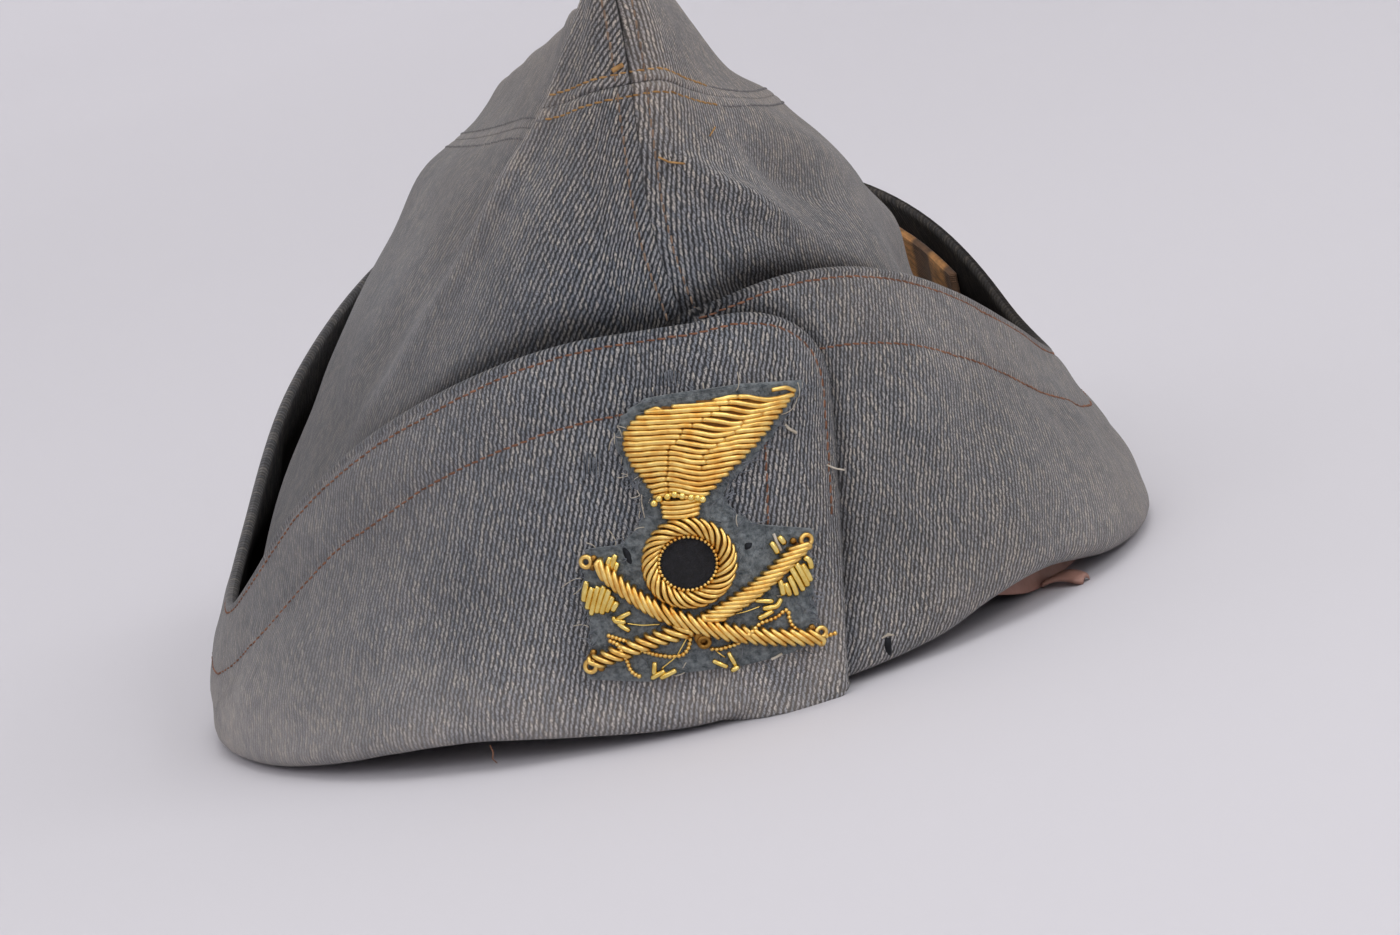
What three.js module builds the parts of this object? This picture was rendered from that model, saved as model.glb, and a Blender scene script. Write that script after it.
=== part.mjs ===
// A side cap of grey twill: a four-part crown with a creased top, two turned-up flaps that
// overlap at the front, a leather sweatband and a bullion badge on a felt backing.
// Millimetres. +X is the wearer's left, +Y the back and +Z up. The rim rests on z = 0.
// Angles run round the cap in degrees from the front, positive to the wearer's left.
import * as THREE from "three";

// Thicknesses and clearances
const CROWN_CLOTH = 2.0;
const FLAP_CLOTH = 2.6;
const LEATHER = 1.2;
const GAP = 0.3;

// The crown from the rim to the crease of its top. half is the half width at the sides, front and
// back are y, sag lowers the sides, pinch sharpens the front and back, nose rounds both ends.
const CROWN_ROWS = [
  { level: 0.00, half: 89, front: -103, back: 102.5, zFront: 3.2, zBack: 3.2, sag: 0, pinch: 1.1, nose: 3 },
  { level: 0.18, half: 81, front: -105, back: 104.5, zFront: 30, zBack: 30, sag: 0, pinch: 1.1, nose: 3 },
  { level: 0.42, half: 66, front: -104, back: 103.5, zFront: 62, zBack: 58, sag: 0, pinch: 1.12, nose: 3 },
  { level: 0.60, half: 51, front: -102, back: 100.5, zFront: 88, zBack: 76, sag: 1, pinch: 1.12, nose: 3 },
  { level: 0.78, half: 31, front: -100, back: 97, zFront: 110, zBack: 92, sag: 1, pinch: 1.08, nose: 3.5 },
  { level: 0.87, half: 20, front: -99, back: 95, zFront: 120, zBack: 100, sag: 1, pinch: 1.05, nose: 4 },
  { level: 0.94, half: 12, front: -98, back: 93, zFront: 131, zBack: 106, sag: 1.5, pinch: 1, nose: 4 },
  { level: 1.00, half: 6, front: -97, back: 91.5, zFront: 140, zBack: 110, sag: 2, pinch: 1, nose: 3.6 },
  { level: 1.05, half: 2.5, front: -95, back: 89.5, zFront: 139, zBack: 109, sag: 5, pinch: 1, nose: 2.2 },
  { level: 1.12, half: 0, front: -91.5, back: 86.5, zFront: 133, zBack: 104, sag: 15, pinch: 1, nose: 0 },
];
const CREASE_LEVEL = 1.12;
const NOSE_SPREAD = 4;
// Where the rows of the crown's panels lie, as shares of each panel's height
const SIDE_SHARES = [0, 0.1, 0.21, 0.33, 0.44, 0.55, 0.67, 0.78, 0.89, 0.995];
const TOP_SHARES = [0.016, 0.16, 0.32, 0.44, 0.52, 0.62, 0.76, 1];
// The level of the seam between the side and top panels round the crown
const SEAM_ROWS = [
  { angle: -180, level: 0.87 },
  { angle: -60, level: 0.862 },
  { angle: -25, level: 0.872 },
  { angle: 0, level: 0.872 },
  { angle: 12, level: 0.862 },
  { angle: 40, level: 0.803 },
  { angle: 70, level: 0.79 },
  { angle: 120, level: 0.82 },
  { angle: 180, level: 0.87 },
];
// The peak leans a little to the wearer's left, and so does the upper crown behind its front
const PEAK_LEAN = { from: 85, to: 140, shift: 5.0 };
const CROWN_TURN = { from: 65, to: 100, front: -2.0, back: 5.0, reach: 60 };

// Soft dents (negative) and swells of the crown, each turned so that it runs along a diagonal
const CROWN_DENTS = [
  { angle: 25, level: 0.53, turn: 0.004, wide: 12, high: 0.09, depth: -2.8 },
  { angle: 40, level: 0.97, turn: 0, wide: 24, high: 0.07, depth: 1.8 },
  { angle: 64, level: 0.80, turn: 0, wide: 18, high: 0.05, depth: 1.2 },
  { angle: 80, level: 0.51, turn: 0, wide: 14, high: 0.05, depth: 2.0 },
  { angle: 68, level: 0.40, turn: 0, wide: 10, high: 0.13, depth: -6.0 },
  { angle: 90, level: 0.38, turn: 0, wide: 40, high: 0.13, depth: -6.0 },
  { angle: -38, level: 0.80, turn: -0.0112, wide: 16, high: 0.07, depth: 2.6 },
  { angle: -53, level: 0.78, turn: -0.0112, wide: 18, high: 0.09, depth: -4.5 },
  { angle: -26, level: 1.00, turn: 0, wide: 14, high: 0.05, depth: -3.0 },
  { angle: -85, level: 0.48, turn: 0, wide: 40, high: 0.20, depth: -4.5 },
  { angle: -113, level: 0.80, turn: 0, wide: 30, high: 0.08, depth: 4.0 },
  { angle: -150, level: 0.55, turn: 0, wide: 16, high: 0.14, depth: -2.5 },
  { angle: 145, level: 0.60, turn: 0, wide: 16, high: 0.14, depth: -2.5 },
];

// The flap's turned-in foot, the middle of the cloth, from its inner edge to the end of the fold
const FOOT_ROWS = [
  { half: 90.6, front: -101.5, back: 101.0, z: 1.3 },
  { half: 94.0, front: -104.5, back: 104.5, z: 1.3 },
  { half: 97.2, front: -107.2, back: 108.0, z: 1.3 },
  { half: 99.2, front: -109.8, back: 110.6, z: 3.0 },
];
// The flap's wall by height, the middle of the cloth
const WALL_ROWS = [
  { z: 0, half: 99.4, front: -110.4, back: 111.2 },
  { z: 7, half: 98.8, front: -110.6, back: 111.4 },
  { z: 38, half: 85.5, front: -110.8, back: 111.0 },
  { z: 60, half: 77.5, front: -109.8, back: 110.0 },
  { z: 76, half: 71.0, front: -108.8, back: 109.0 },
  { z: 95, half: 62.0, front: -107.5, back: 107.5 },
];
const WALL_START = 7;
const WALL_PINCH = 1.1;
// Heights of the two top edges round the cap
const RIGHT_EDGE = [
  { angle: 0, z: 75.5 },
  { angle: 10, z: 76.5 },
  { angle: 20, z: 77 },
  { angle: 30, z: 75.5 },
  { angle: 40, z: 72 },
  { angle: 50, z: 66.7 },
  { angle: 60, z: 59.2 },
  { angle: 70, z: 49.2 },
  { angle: 80, z: 36.8 },
  { angle: 86, z: 30.5 },
  { angle: 92, z: 28 },
  { angle: 99, z: 30.5 },
  { angle: 106, z: 37 },
  { angle: 126, z: 60 },
  { angle: 150, z: 79 },
  { angle: 180, z: 86 },
];
const LEFT_EDGE = [
  { angle: 0, z: 77.5 },
  { angle: 22, z: 78 },
  { angle: 32, z: 75.2 },
  { angle: 40, z: 70.7 },
  { angle: 50, z: 62 },
  { angle: 60, z: 51.5 },
  { angle: 70, z: 42.5 },
  { angle: 78, z: 38.5 },
  { angle: 86, z: 38.8 },
  { angle: 92, z: 42 },
  { angle: 99, z: 49.5 },
  { angle: 106, z: 56.5 },
  { angle: 126, z: 74 },
  { angle: 150, z: 84.5 },
  { angle: 180, z: 86 },
];
// The right flap's front end: a tab over the left flap with a slanting edge and a round top corner
const TAB = { reach: 12, slant: 0.2, corner: 20 };
// The left flap's end, tucked under the tab
const TUCK = { reach: 14, inset: 3.1, fadeFrom: 19, fadeTo: 42 };
// The rear halves of the flaps stand away from the crown, the left one more
const FLARE = { angle: 112, wide: 36, from: 30, to: 75, left: 11.5, right: 2.5 };
// Places where the rim is lifted off the surface
const RIGHT_LIFT = { angle: -40, wide: 21, height: 5.2 };
const LEFT_LIFT = { front: 1.7, from: 38, to: 76, angle: 38, wide: 14, height: 5.0, tuck: 3.7, tuckTo: 8 };
const LIFT_FADE = 40;

// The sweatband
const BAND = { half: 88.4, front: -100.2, back: 99.7, low: 0.4, high: 31, lean: 9.2 };
// Between these angles the band's lower edge comes down from the lifted rim to where it shows
const BAND_SHOW = { from: 28, to: 46 };
const BAND_TAB = { angle: 47, length: 9, width: 6, thick: 0.9, curl: 1.2, z: 0.4 };

// The tan patch inside the left flap, measured down from the flap's top edge
const PATCH = { fromAngle: 106, toAngle: 119, from: 4, to: 16, off: 0.7, thick: 1.0 };

// The badge: its ring's centre on the flap, the turn of its upright to the wearer's left, its sizes
const BADGE = { x: -11.4, z: 32.8, turn: 14, lift: 0.5 };
const BACKING_THICK = 0.8;
const RING = { outer: 8.3, inner: 5.1, height: 2.2 };
const BARREL = { thick: 2.9, height: 2.2, taper: 0.8, stop: 3.3 };
const BOSS = { right: 2.8, up: -15.2, radius: 1.6, height: 1.6 };
// Outlines by height above the ring's centre, with the left and right bounds as the viewer sees them
const BACKING_ROWS = [
  { up: -22.8, left: -20.5, right: -7.0 },
  { up: -21.0, left: -20.7, right: -1.0 },
  { up: -19.5, left: -20.4, right: 11.0 },
  { up: -17.5, left: -20.0, right: 20.0 },
  { up: -15.5, left: -19.8, right: 26.0 },
  { up: -12.0, left: -20.0, right: 25.4 },
  { up: -7.0, left: -21.4, right: 24.2 },
  { up: -2.0, left: -21.8, right: 23.8 },
  { up: 2.0, left: -21.2, right: 23.6 },
  { up: 3.2, left: -13.0, right: 23.4 },
  { up: 5.4, left: -10.5, right: 23.0 },
  { up: 6.8, left: -9.6, right: 12.0 },
  { up: 9.0, left: -8.8, right: 8.4 },
  { up: 12.0, left: -8.6, right: 6.0 },
  { up: 15.0, left: -10.4, right: 7.6 },
  { up: 18.0, left: -12.6, right: 10.6 },
  { up: 22.5, left: -14.4, right: 14.8 },
  { up: 27.0, left: -13.2, right: 18.4 },
  { up: 30.5, left: -8.4, right: 20.6 },
  { up: 31.8, left: 0.0, right: 21.2 },
  { up: 32.8, left: 9.0, right: 21.4 },
];
const FLAME_ROWS = [
  { up: 11.9, left: -5.6, right: 2.3 },
  { up: 13.9, left: -7.0, right: 4.1 },
  { up: 16.6, left: -9.3, right: 7.0 },
  { up: 19.4, left: -11.3, right: 9.8 },
  { up: 22.2, left: -12.4, right: 12.4 },
  { up: 24.4, left: -12.0, right: 14.1 },
  { up: 26.4, left: -10.6, right: 15.8 },
  { up: 28.2, left: -7.6, right: 17.2 },
  { up: 29.4, left: -1.0, right: 18.2 },
  { up: 30.3, left: 6.0, right: 18.8 },
  { up: 31.0, left: 13.0, right: 19.2 },
];
const COLLAR_ROWS = [
  { up: 8.9, left: -4.2, right: 2.0 },
  { up: 10.2, left: -4.9, right: 2.2 },
  { up: 11.5, left: -5.0, right: 2.3 },
];
const LEFT_FAN_ROWS = [
  { up: -10.4, left: -18.8, right: -16.4 },
  { up: -8.9, left: -19.6, right: -13.4 },
  { up: -7.0, left: -20.4, right: -13.6 },
  { up: -4.6, left: -20.4, right: -16.6 },
];
const RIGHT_FAN_ROWS = [
  { up: -6.8, left: 18.0, right: 20.4 },
  { up: -5.4, left: 16.4, right: 22.0 },
  { up: -3.4, left: 17.2, right: 22.2 },
  { up: -1.6, left: 19.2, right: 22.2 },
];
// The middle lines of the two crossed barrels, from the viewer's left to right
const OVER_PATH = [
  { along: 0.00, right: -17.5, up: -0.6 },
  { along: 0.25, right: -9.4, up: -6.6 },
  { along: 0.50, right: 0.6, up: -11.2 },
  { along: 0.75, right: 12.0, up: -13.8 },
  { along: 1.00, right: 24.0, up: -14.8 },
];
const UNDER_PATH = [
  { along: 0.00, right: -18.6, up: -19.3 },
  { along: 0.28, right: -7.0, up: -14.8 },
  { along: 0.50, right: 1.8, up: -11.5 },
  { along: 0.75, right: 11.4, up: -5.4 },
  { along: 1.00, right: 20.8, up: 3.0 },
];
const CROSSING = 0.5;

// Puts the middle of the whole cap over the origin
const CENTRE_Y = 1.7;

// Materials
function material(name, color, roughness, metalness = 0) {
  return new THREE.MeshStandardMaterial({ name, color, roughness, metalness });
}
const cloth = material("grey_twill", 0x6b6d70, 0.95);
const leather = material("brown_leather", 0x6d4f46, 0.6);
const tan = material("tan_cloth", 0x8f6835, 0.9);
const felt = material("grey_felt", 0x505a60, 1);
const black = material("black_felt", 0x151518, 1);
const gold = material("gold_bullion", 0xc89a3c, 0.35, 1);

const DEG = Math.PI / 180;
const vec = (x, y, z) => new THREE.Vector3(x, y, z);
const clamp = (x, low, high) => Math.min(high, Math.max(low, x));
const mix = (a, b, t) => a + (b - a) * t;
const hill = (x) => Math.exp(-x * x);

// 0 to 1 with soft ends
function ease(x) {
  const t = clamp(x, 0, 1);
  return t * t * (3 - 2 * t);
}

// A smooth curve through one column of a table
function curve(rows, along, column, x) {
  const count = rows.length;
  const slope = (i) => (rows[i + 1][column] - rows[i][column]) / (rows[i + 1][along] - rows[i][along]);
  const tangent = (i) => {
    if (i === 0) return slope(0);
    if (i === count - 1) return slope(count - 2);
    const before = rows[i][along] - rows[i - 1][along];
    const after = rows[i + 1][along] - rows[i][along];
    return (slope(i - 1) * after + slope(i) * before) / (before + after);
  };
  let i = 0;
  while (i < count - 2 && x > rows[i + 1][along]) i += 1;
  const step = rows[i + 1][along] - rows[i][along];
  const t = clamp((x - rows[i][along]) / step, 0, 1);
  const start = (1 + 2 * t) * (1 - t) ** 2 * rows[i][column] + t * (1 - t) ** 2 * step * tangent(i);
  const end = t * t * (3 - 2 * t) * rows[i + 1][column] + t * t * (t - 1) * step * tangent(i + 1);
  return start + end;
}

// The oval that every level of the cap follows
function oval(angle, half, front, back, pinch) {
  const sine = Math.sin(angle * DEG);
  const share = (1 - Math.cos(angle * DEG)) / 2;
  return { x: Math.sign(sine) * half * Math.abs(sine) ** pinch, y: mix(front, back, share), share, sine };
}

function rightLift(angle) {
  return RIGHT_LIFT.height * hill((angle - RIGHT_LIFT.angle) / RIGHT_LIFT.wide);
}

function leftLift(angle) {
  const front = LEFT_LIFT.front * (1 - ease((angle - LEFT_LIFT.from) / (LEFT_LIFT.to - LEFT_LIFT.from)));
  const tuck = LEFT_LIFT.tuck * (1 - ease(angle / LEFT_LIFT.tuckTo));
  return front + tuck + LEFT_LIFT.height * hill((angle - LEFT_LIFT.angle) / LEFT_LIFT.wide);
}

// How far the crown's rim is lifted: both flaps' lifts, run together at the front
function rimLift(angle) {
  if (angle >= 0) return leftLift(angle);
  return Math.max(rightLift(angle), leftLift(0) * ease(1 + angle / 14));
}

function crownDent(angle, level) {
  let depth = 0;
  for (const dent of CROWN_DENTS) {
    const across = (angle - dent.angle) / dent.wide;
    const along = (level - dent.level + dent.turn * (angle - dent.angle)) / dent.high;
    depth += dent.depth * hill(across) * hill(along);
  }
  return depth;
}

// The crown's outer face for one side (1 left, -1 right), before dents and lean
function crownBase(side, angle, level) {
  const at = (column) => curve(CROWN_ROWS, "level", column, level);
  const round = oval(angle, at("half"), at("front"), at("back"), at("pinch"));
  const fromEnd = Math.min(Math.abs(angle), 180 - Math.abs(angle));
  const nose = at("nose") * (1 - Math.exp(-fromEnd / NOSE_SPREAD));
  const z = mix(at("zFront"), at("zBack"), round.share) - at("sag") * round.sine ** 2;
  const x = side * Math.max(GAP / 2, Math.abs(round.x) + nose);
  return vec(x, round.y, z + rimLift(angle) * (1 - ease(z / LIFT_FADE)));
}

// The way out of a face, from two neighbours each way
function outward(point, u, v, du, dv, flip) {
  const along = point(u + du, v).sub(point(u - du, v));
  const up = point(u, v + dv).sub(point(u, v - dv));
  const normal = along.cross(up).normalize();
  return flip ? normal.negate() : normal;
}

// A point of the crown, depth millimetres in from its outer face
function crownPoint(side, angle, level, depth) {
  const inside = clamp(Math.abs(angle), 0.6, 179.4) * side;
  const normal = outward((u, v) => crownBase(side, u, v), inside, level, 0.5, 0.004, false);
  const push = crownDent(angle, level) * Math.abs(Math.sin(angle * DEG)) ** 0.5;
  const p = crownBase(side, angle, level).addScaledVector(normal, push - depth);
  p.x = side * Math.max(GAP / 2, side * p.x);
  const turn = mix(CROWN_TURN.front, CROWN_TURN.back, ease((p.y + 100) / CROWN_TURN.reach));
  p.x += turn * ease((p.z - CROWN_TURN.from) / (CROWN_TURN.to - CROWN_TURN.from));
  p.x += PEAK_LEAN.shift * ease((p.z - PEAK_LEAN.from) / (PEAK_LEAN.to - PEAK_LEAN.from));
  return p;
}

// A closed solid from a grid of outer and inner points. wrap joins the last column to the first.
function shell(outer, inner, wrap = false) {
  const columns = outer.length;
  const rows = outer[0].length;
  const positions = [];
  const index = [];
  for (const face of [outer, inner]) {
    for (const column of face) {
      for (const p of column) positions.push(p.x, p.y, p.z);
    }
  }
  const id = (face, i, j) => face * columns * rows + (i % columns) * rows + j;
  const quad = (a, b, c, d) => index.push(a, b, c, a, c, d);
  const last = wrap ? columns : columns - 1;
  for (let i = 0; i < last; i += 1) {
    for (let j = 0; j < rows - 1; j += 1) {
      quad(id(0, i, j), id(0, i + 1, j), id(0, i + 1, j + 1), id(0, i, j + 1));
      quad(id(1, i, j), id(1, i, j + 1), id(1, i + 1, j + 1), id(1, i + 1, j));
    }
    quad(id(1, i, 0), id(1, i + 1, 0), id(0, i + 1, 0), id(0, i, 0));
    quad(id(0, i, rows - 1), id(0, i + 1, rows - 1), id(1, i + 1, rows - 1), id(1, i, rows - 1));
  }
  for (let j = 0; j < rows - 1 && !wrap; j += 1) {
    quad(id(0, 0, j), id(0, 0, j + 1), id(1, 0, j + 1), id(1, 0, j));
    quad(id(1, last, j), id(1, last, j + 1), id(0, last, j + 1), id(0, last, j));
  }
  return solid(positions, index);
}

// A geometry whose faces look out
function solid(positions, index) {
  let volume = 0;
  const at = (i) => vec(positions[3 * i], positions[3 * i + 1], positions[3 * i + 2]);
  for (let k = 0; k < index.length; k += 3) {
    volume += at(index[k]).dot(at(index[k + 1]).cross(at(index[k + 2])));
  }
  if (volume < 0) index.reverse();
  const geometry = new THREE.BufferGeometry();
  geometry.setAttribute("position", new THREE.Float32BufferAttribute(positions, 3));
  geometry.setIndex(index);
  geometry.computeVertexNormals();
  return geometry;
}

const grid = (us, vs, point) => us.map((u) => vs.map((v) => point(u, v)));
const spread = (from, to, count) => Array.from({ length: count }, (_, i) => mix(from, to, i / (count - 1)));

// Angles of one side from front to back, closer together at both ends
function sideAngles(side, count) {
  return spread(0, 1, count).map((t) => side * (180 * t - 12 * Math.sin(2 * Math.PI * t)));
}

// The crown's panels: the sides up to the seam, and the tops from the seam over the ridge to the
// crease. levelAt turns a share of the panel's height into a level, given the seam's level.
function crownPanel(side, shares, columns, levelAt) {
  const face = (depth) => grid(sideAngles(side, columns), shares, (angle, share) => {
    const level = levelAt(share, curve(SEAM_ROWS, "angle", "level", angle));
    return crownPoint(side, angle, level, depth);
  });
  return shell(face(0), face(CROWN_CLOTH));
}

const sidePanel = (side) => crownPanel(side, SIDE_SHARES, 32, (share, seam) => share * seam);
const topPanel = (side) => crownPanel(side, TOP_SHARES, 26, (share, seam) => mix(seam, CREASE_LEVEL, share));

// The middle of a flap's wall at an angle and height
function wallPoint(angle, z) {
  const at = (column) => curve(WALL_ROWS, "z", column, z);
  const round = oval(angle, at("half"), at("front"), at("back"), WALL_PINCH);
  return vec(round.x, round.y, z);
}

// The middle of the turned-in foot, row by row
function footPoint(angle, row) {
  const round = oval(angle, row.half, row.front, row.back, WALL_PINCH);
  return vec(round.x, round.y, row.z);
}

// The angle at which a wall's front reaches x
function frontAngle(x, z) {
  const half = curve(WALL_ROWS, "z", "half", z);
  return Math.sign(x) * Math.asin((Math.abs(x) / half) ** (1 / WALL_PINCH)) / DEG;
}

// Where the rows of a flap's wall lie between its start and its top edge
const WALL_SHARES = [0, 0.16, 0.34, 0.54, 0.74, 0.9, 1];

// One column of a flap's middle points, from the foot's inner edge to the top. free is 1 where the
// flap has no foot and ends straight down.
function flapColumn(column) {
  const points = [];
  for (const [k, row] of FOOT_ROWS.entries()) {
    const z = WALL_START * (k / FOOT_ROWS.length);
    const down = wallPoint(column.angleAt(z), z);
    points.push(footPoint(column.angleAt(0), row).lerp(down, column.free));
  }
  for (const share of WALL_SHARES) {
    const z = mix(WALL_START, column.top, share);
    points.push(wallPoint(column.angleAt(z), z));
  }
  for (const [k, p] of points.entries()) {
    const hold = Math.min(1, k / (FOOT_ROWS.length - 1));
    p.addScaledVector(column.offset(p), mix(hold, 1, column.free));
    p.z += column.lift * (1 - ease(p.z / LIFT_FADE));
  }
  return points;
}

function gridNormals(points) {
  const last = points.length - 1;
  const top = points[0].length - 1;
  return points.map((column, i) => column.map((_, j) => {
    const along = points[Math.min(i + 1, last)][j].clone().sub(points[Math.max(i - 1, 0)][j]);
    const up = column[Math.min(j + 1, top)].clone().sub(column[Math.max(j - 1, 0)]);
    return along.cross(up).normalize();
  }));
}

// A flap solid: half the cloth to each side of the middle, flat where it meets the surface
function flapSolid(columns, side) {
  const middle = columns.map(flapColumn);
  const normals = gridNormals(middle);
  const face = (way) => middle.map((column, i) => column.map((p, j) => {
    const q = p.clone().addScaledVector(normals[i][j], way * FLAP_CLOTH / 2);
    q.z = Math.max(0, q.z);
    if (q.y > 60) q.x = side * Math.max(GAP / 2, side * q.x);
    return q;
  }));
  return shell(face(1), face(-1));
}

const noOffset = () => vec(0, 0, 0);

// How far a flap stands away from the crown at an angle and height, as a share of the most
function flareShare(angle, z) {
  const rise = ease((z - FLARE.from) / (FLARE.to - FLARE.from));
  return rise * hill((Math.abs(angle) - FLARE.angle) / FLARE.wide);
}

function rightColumn(angle) {
  const top = curve(RIGHT_EDGE, "angle", "z", Math.abs(angle));
  const free = ease(1 + (angle + 1) / 12);
  const offset = (p) => vec(-FLARE.right * flareShare(angle, p.z), 0, 0);
  return { angleAt: () => angle, top, lift: rightLift(angle), offset, free };
}

// A column of the tab, share of the way from the front seam to the tab's edge
function tabColumn(share) {
  const full = RIGHT_EDGE[0].z;
  const edge = TAB.reach + TAB.slant * (full - TAB.corner);
  const near = Math.max(0, share * edge - (edge - TAB.corner)) / TAB.corner;
  const top = full - TAB.corner * (1 - Math.sqrt(1 - near * near));
  const angleAt = (z) => frontAngle(share * (TAB.reach + TAB.slant * z), z);
  return { angleAt, top, lift: 0, offset: noOffset, free: 1 };
}

function leftColumn(angle) {
  const top = curve(LEFT_EDGE, "angle", "z", Math.max(0, angle)) - 3 * ease(-angle / 9);
  const free = ease((3 - angle) / 3);
  const fade = 1 - ease((angle - TUCK.fadeFrom) / (TUCK.fadeTo - TUCK.fadeFrom));
  const offset = (p) => vec(FLARE.left * flareShare(angle, p.z), TUCK.inset * fade, 0);
  return { angleAt: () => angle, top, lift: leftLift(angle), offset, free };
}

function flapRight() {
  const round = sideAngles(-1, 38).reverse().slice(0, -1).map(rightColumn);
  const tab = [0, 0.2, 0.4, 0.6, 0.74, 0.86, 0.94, 1].map(tabColumn);
  return flapSolid([...round, ...tab], -1);
}

function flapLeft() {
  const tuck = spread(-frontAngle(TUCK.reach, 40), -2, 4).map(leftColumn);
  const round = sideAngles(1, 38).map(leftColumn);
  return flapSolid([...tuck, ...round], 1);
}

// How far the sweatband's lower edge is lifted with the rim: not where the leather shows on the left
function bandLift(angle) {
  return rimLift(angle) * (1 - ease((angle - BAND_SHOW.from) / (BAND_SHOW.to - BAND_SHOW.from)));
}

// The sweatband: a ring of leather inside the crown
function sweatband() {
  const angles = spread(-180, 180, 49).slice(0, -1);
  const ring = (inset) => grid(angles, spread(0, 1, 3), (angle, share) => {
    const z = mix(BAND.low + bandLift(angle), BAND.high, share);
    const half = BAND.half - inset - BAND.lean * (z / BAND.high);
    const round = oval(angle, half, BAND.front + inset, BAND.back - inset, WALL_PINCH);
    return vec(round.x, round.y, z);
  });
  return shell(ring(0), ring(LEATHER), true);
}

// A loose end of the sweatband's edging that sticks out under the lifted rim
function bandTab() {
  const start = oval(BAND_TAB.angle, BAND.half, BAND.front, BAND.back, WALL_PINCH);
  const out = vec(Math.sin(BAND_TAB.angle * DEG), -Math.cos(BAND_TAB.angle * DEG), 0);
  const across = vec(-out.y, out.x, 0);
  const along = spread(GAP + 0.3, BAND_TAB.length, 5);
  const wide = spread(-BAND_TAB.width / 2, BAND_TAB.width / 2, 3);
  const leaf = (rise) => grid(along, wide, (a, b) => {
    const curl = BAND_TAB.curl * Math.sin(Math.PI * a / BAND_TAB.length);
    const p = vec(start.x, start.y, BAND_TAB.z + curl + rise);
    return p.addScaledVector(out, a).addScaledVector(across, b * (1 - 0.03 * a));
  });
  return shell(leaf(BAND_TAB.thick), leaf(0));
}

// A small cloth patch sewn on the inner face of the left flap
function sidePatch() {
  const angles = spread(PATCH.fromAngle, PATCH.toAngle, 6);
  const drops = spread(PATCH.from, PATCH.to, 5);
  const wall = (angle, z) => wallPoint(angle, z).add(vec(FLARE.left * flareShare(angle, z), 0, 0));
  const face = (off) => grid(angles, drops, (angle, drop) => {
    const z = curve(LEFT_EDGE, "angle", "z", angle) - drop;
    return wall(angle, z).addScaledVector(outward(wall, angle, z, 0.5, 0.5, true), FLAP_CLOTH / 2 + off);
  });
  return shell(face(PATCH.off + PATCH.thick), face(PATCH.off));
}

// Height above the flap at which the badge's gold work starts
const OFF = BADGE.lift + BACKING_THICK + GAP;

// A badge point: right and up from the ring's centre, off is the height above the flap's face
function onFlap(right, up, off) {
  const turn = -BADGE.turn * DEG;
  const x = BADGE.x + right * Math.cos(turn) - up * Math.sin(turn);
  const z = BADGE.z + right * Math.sin(turn) + up * Math.cos(turn);
  const face = (u, v) => wallPoint(frontAngle(u, v), v);
  const normal = outward(face, x, z, 0.5, 0.5, false);
  return face(x, z).addScaledVector(normal, FLAP_CLOTH / 2 + off);
}

// A plate bent onto the flap from rows of left and right bounds, domed between thin edges
function plate(rows, from, edge, dome, across) {
  const shares = spread(0, 1, across);
  const low = rows[0].up;
  const high = rows[rows.length - 1].up;
  const surface = (top) => rows.map((row) => shares.map((share) => {
    const crown = Math.sin(Math.PI * share) * Math.sin(Math.PI * (row.up - low + 0.5) / (high - low + 1));
    const off = from + (top ? edge + dome * Math.sqrt(Math.max(0, crown)) : 0);
    return onFlap(mix(row.left, row.right, share), row.up, off);
  }));
  return shell(surface(true), surface(false));
}

// A half-round cord of the badge along part of a path, with its flat side down and its ends rounded off
function barrel(path, from, to, steps) {
  const point = (t) => [curve(path, "along", "right", t), curve(path, "along", "up", t)];
  const turns = spread(0, Math.PI, 7);
  const surface = (top) => spread(0, 1, steps).map((share) => turns.map((turn) => {
    const t = mix(from, to, share);
    const [right, up] = point(t);
    const [ahead, behind] = [point(t + 0.01), point(t - 0.01)];
    const way = [ahead[0] - behind[0], ahead[1] - behind[1]];
    const length = Math.hypot(...way);
    const end = Math.sqrt(clamp(1 - (2 * share - 1) ** 12, 0.3, 1));
    const side = Math.cos(turn) * BARREL.thick / 2 * mix(1, BARREL.taper, Math.abs(2 * t - 1)) * end;
    const off = OFF + (top ? 0.25 + BARREL.height * Math.sin(turn) * end : 0);
    return onFlap(right - side * way[1] / length, up + side * way[0] / length, off);
  }));
  return shell(surface(true), surface(false));
}

function badgeRing() {
  const turns = spread(0, 2 * Math.PI, 33).slice(0, -1);
  const shares = spread(0, 1, 5);
  const surface = (top) => turns.map((turn) => shares.map((share) => {
    const radius = mix(RING.inner + GAP, RING.outer, share);
    const off = OFF + (top ? 0.3 + RING.height * Math.sin(Math.PI * share) : 0);
    return onFlap(radius * Math.cos(turn), radius * Math.sin(turn), off);
  }));
  return shell(surface(true), surface(false), true);
}

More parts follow.
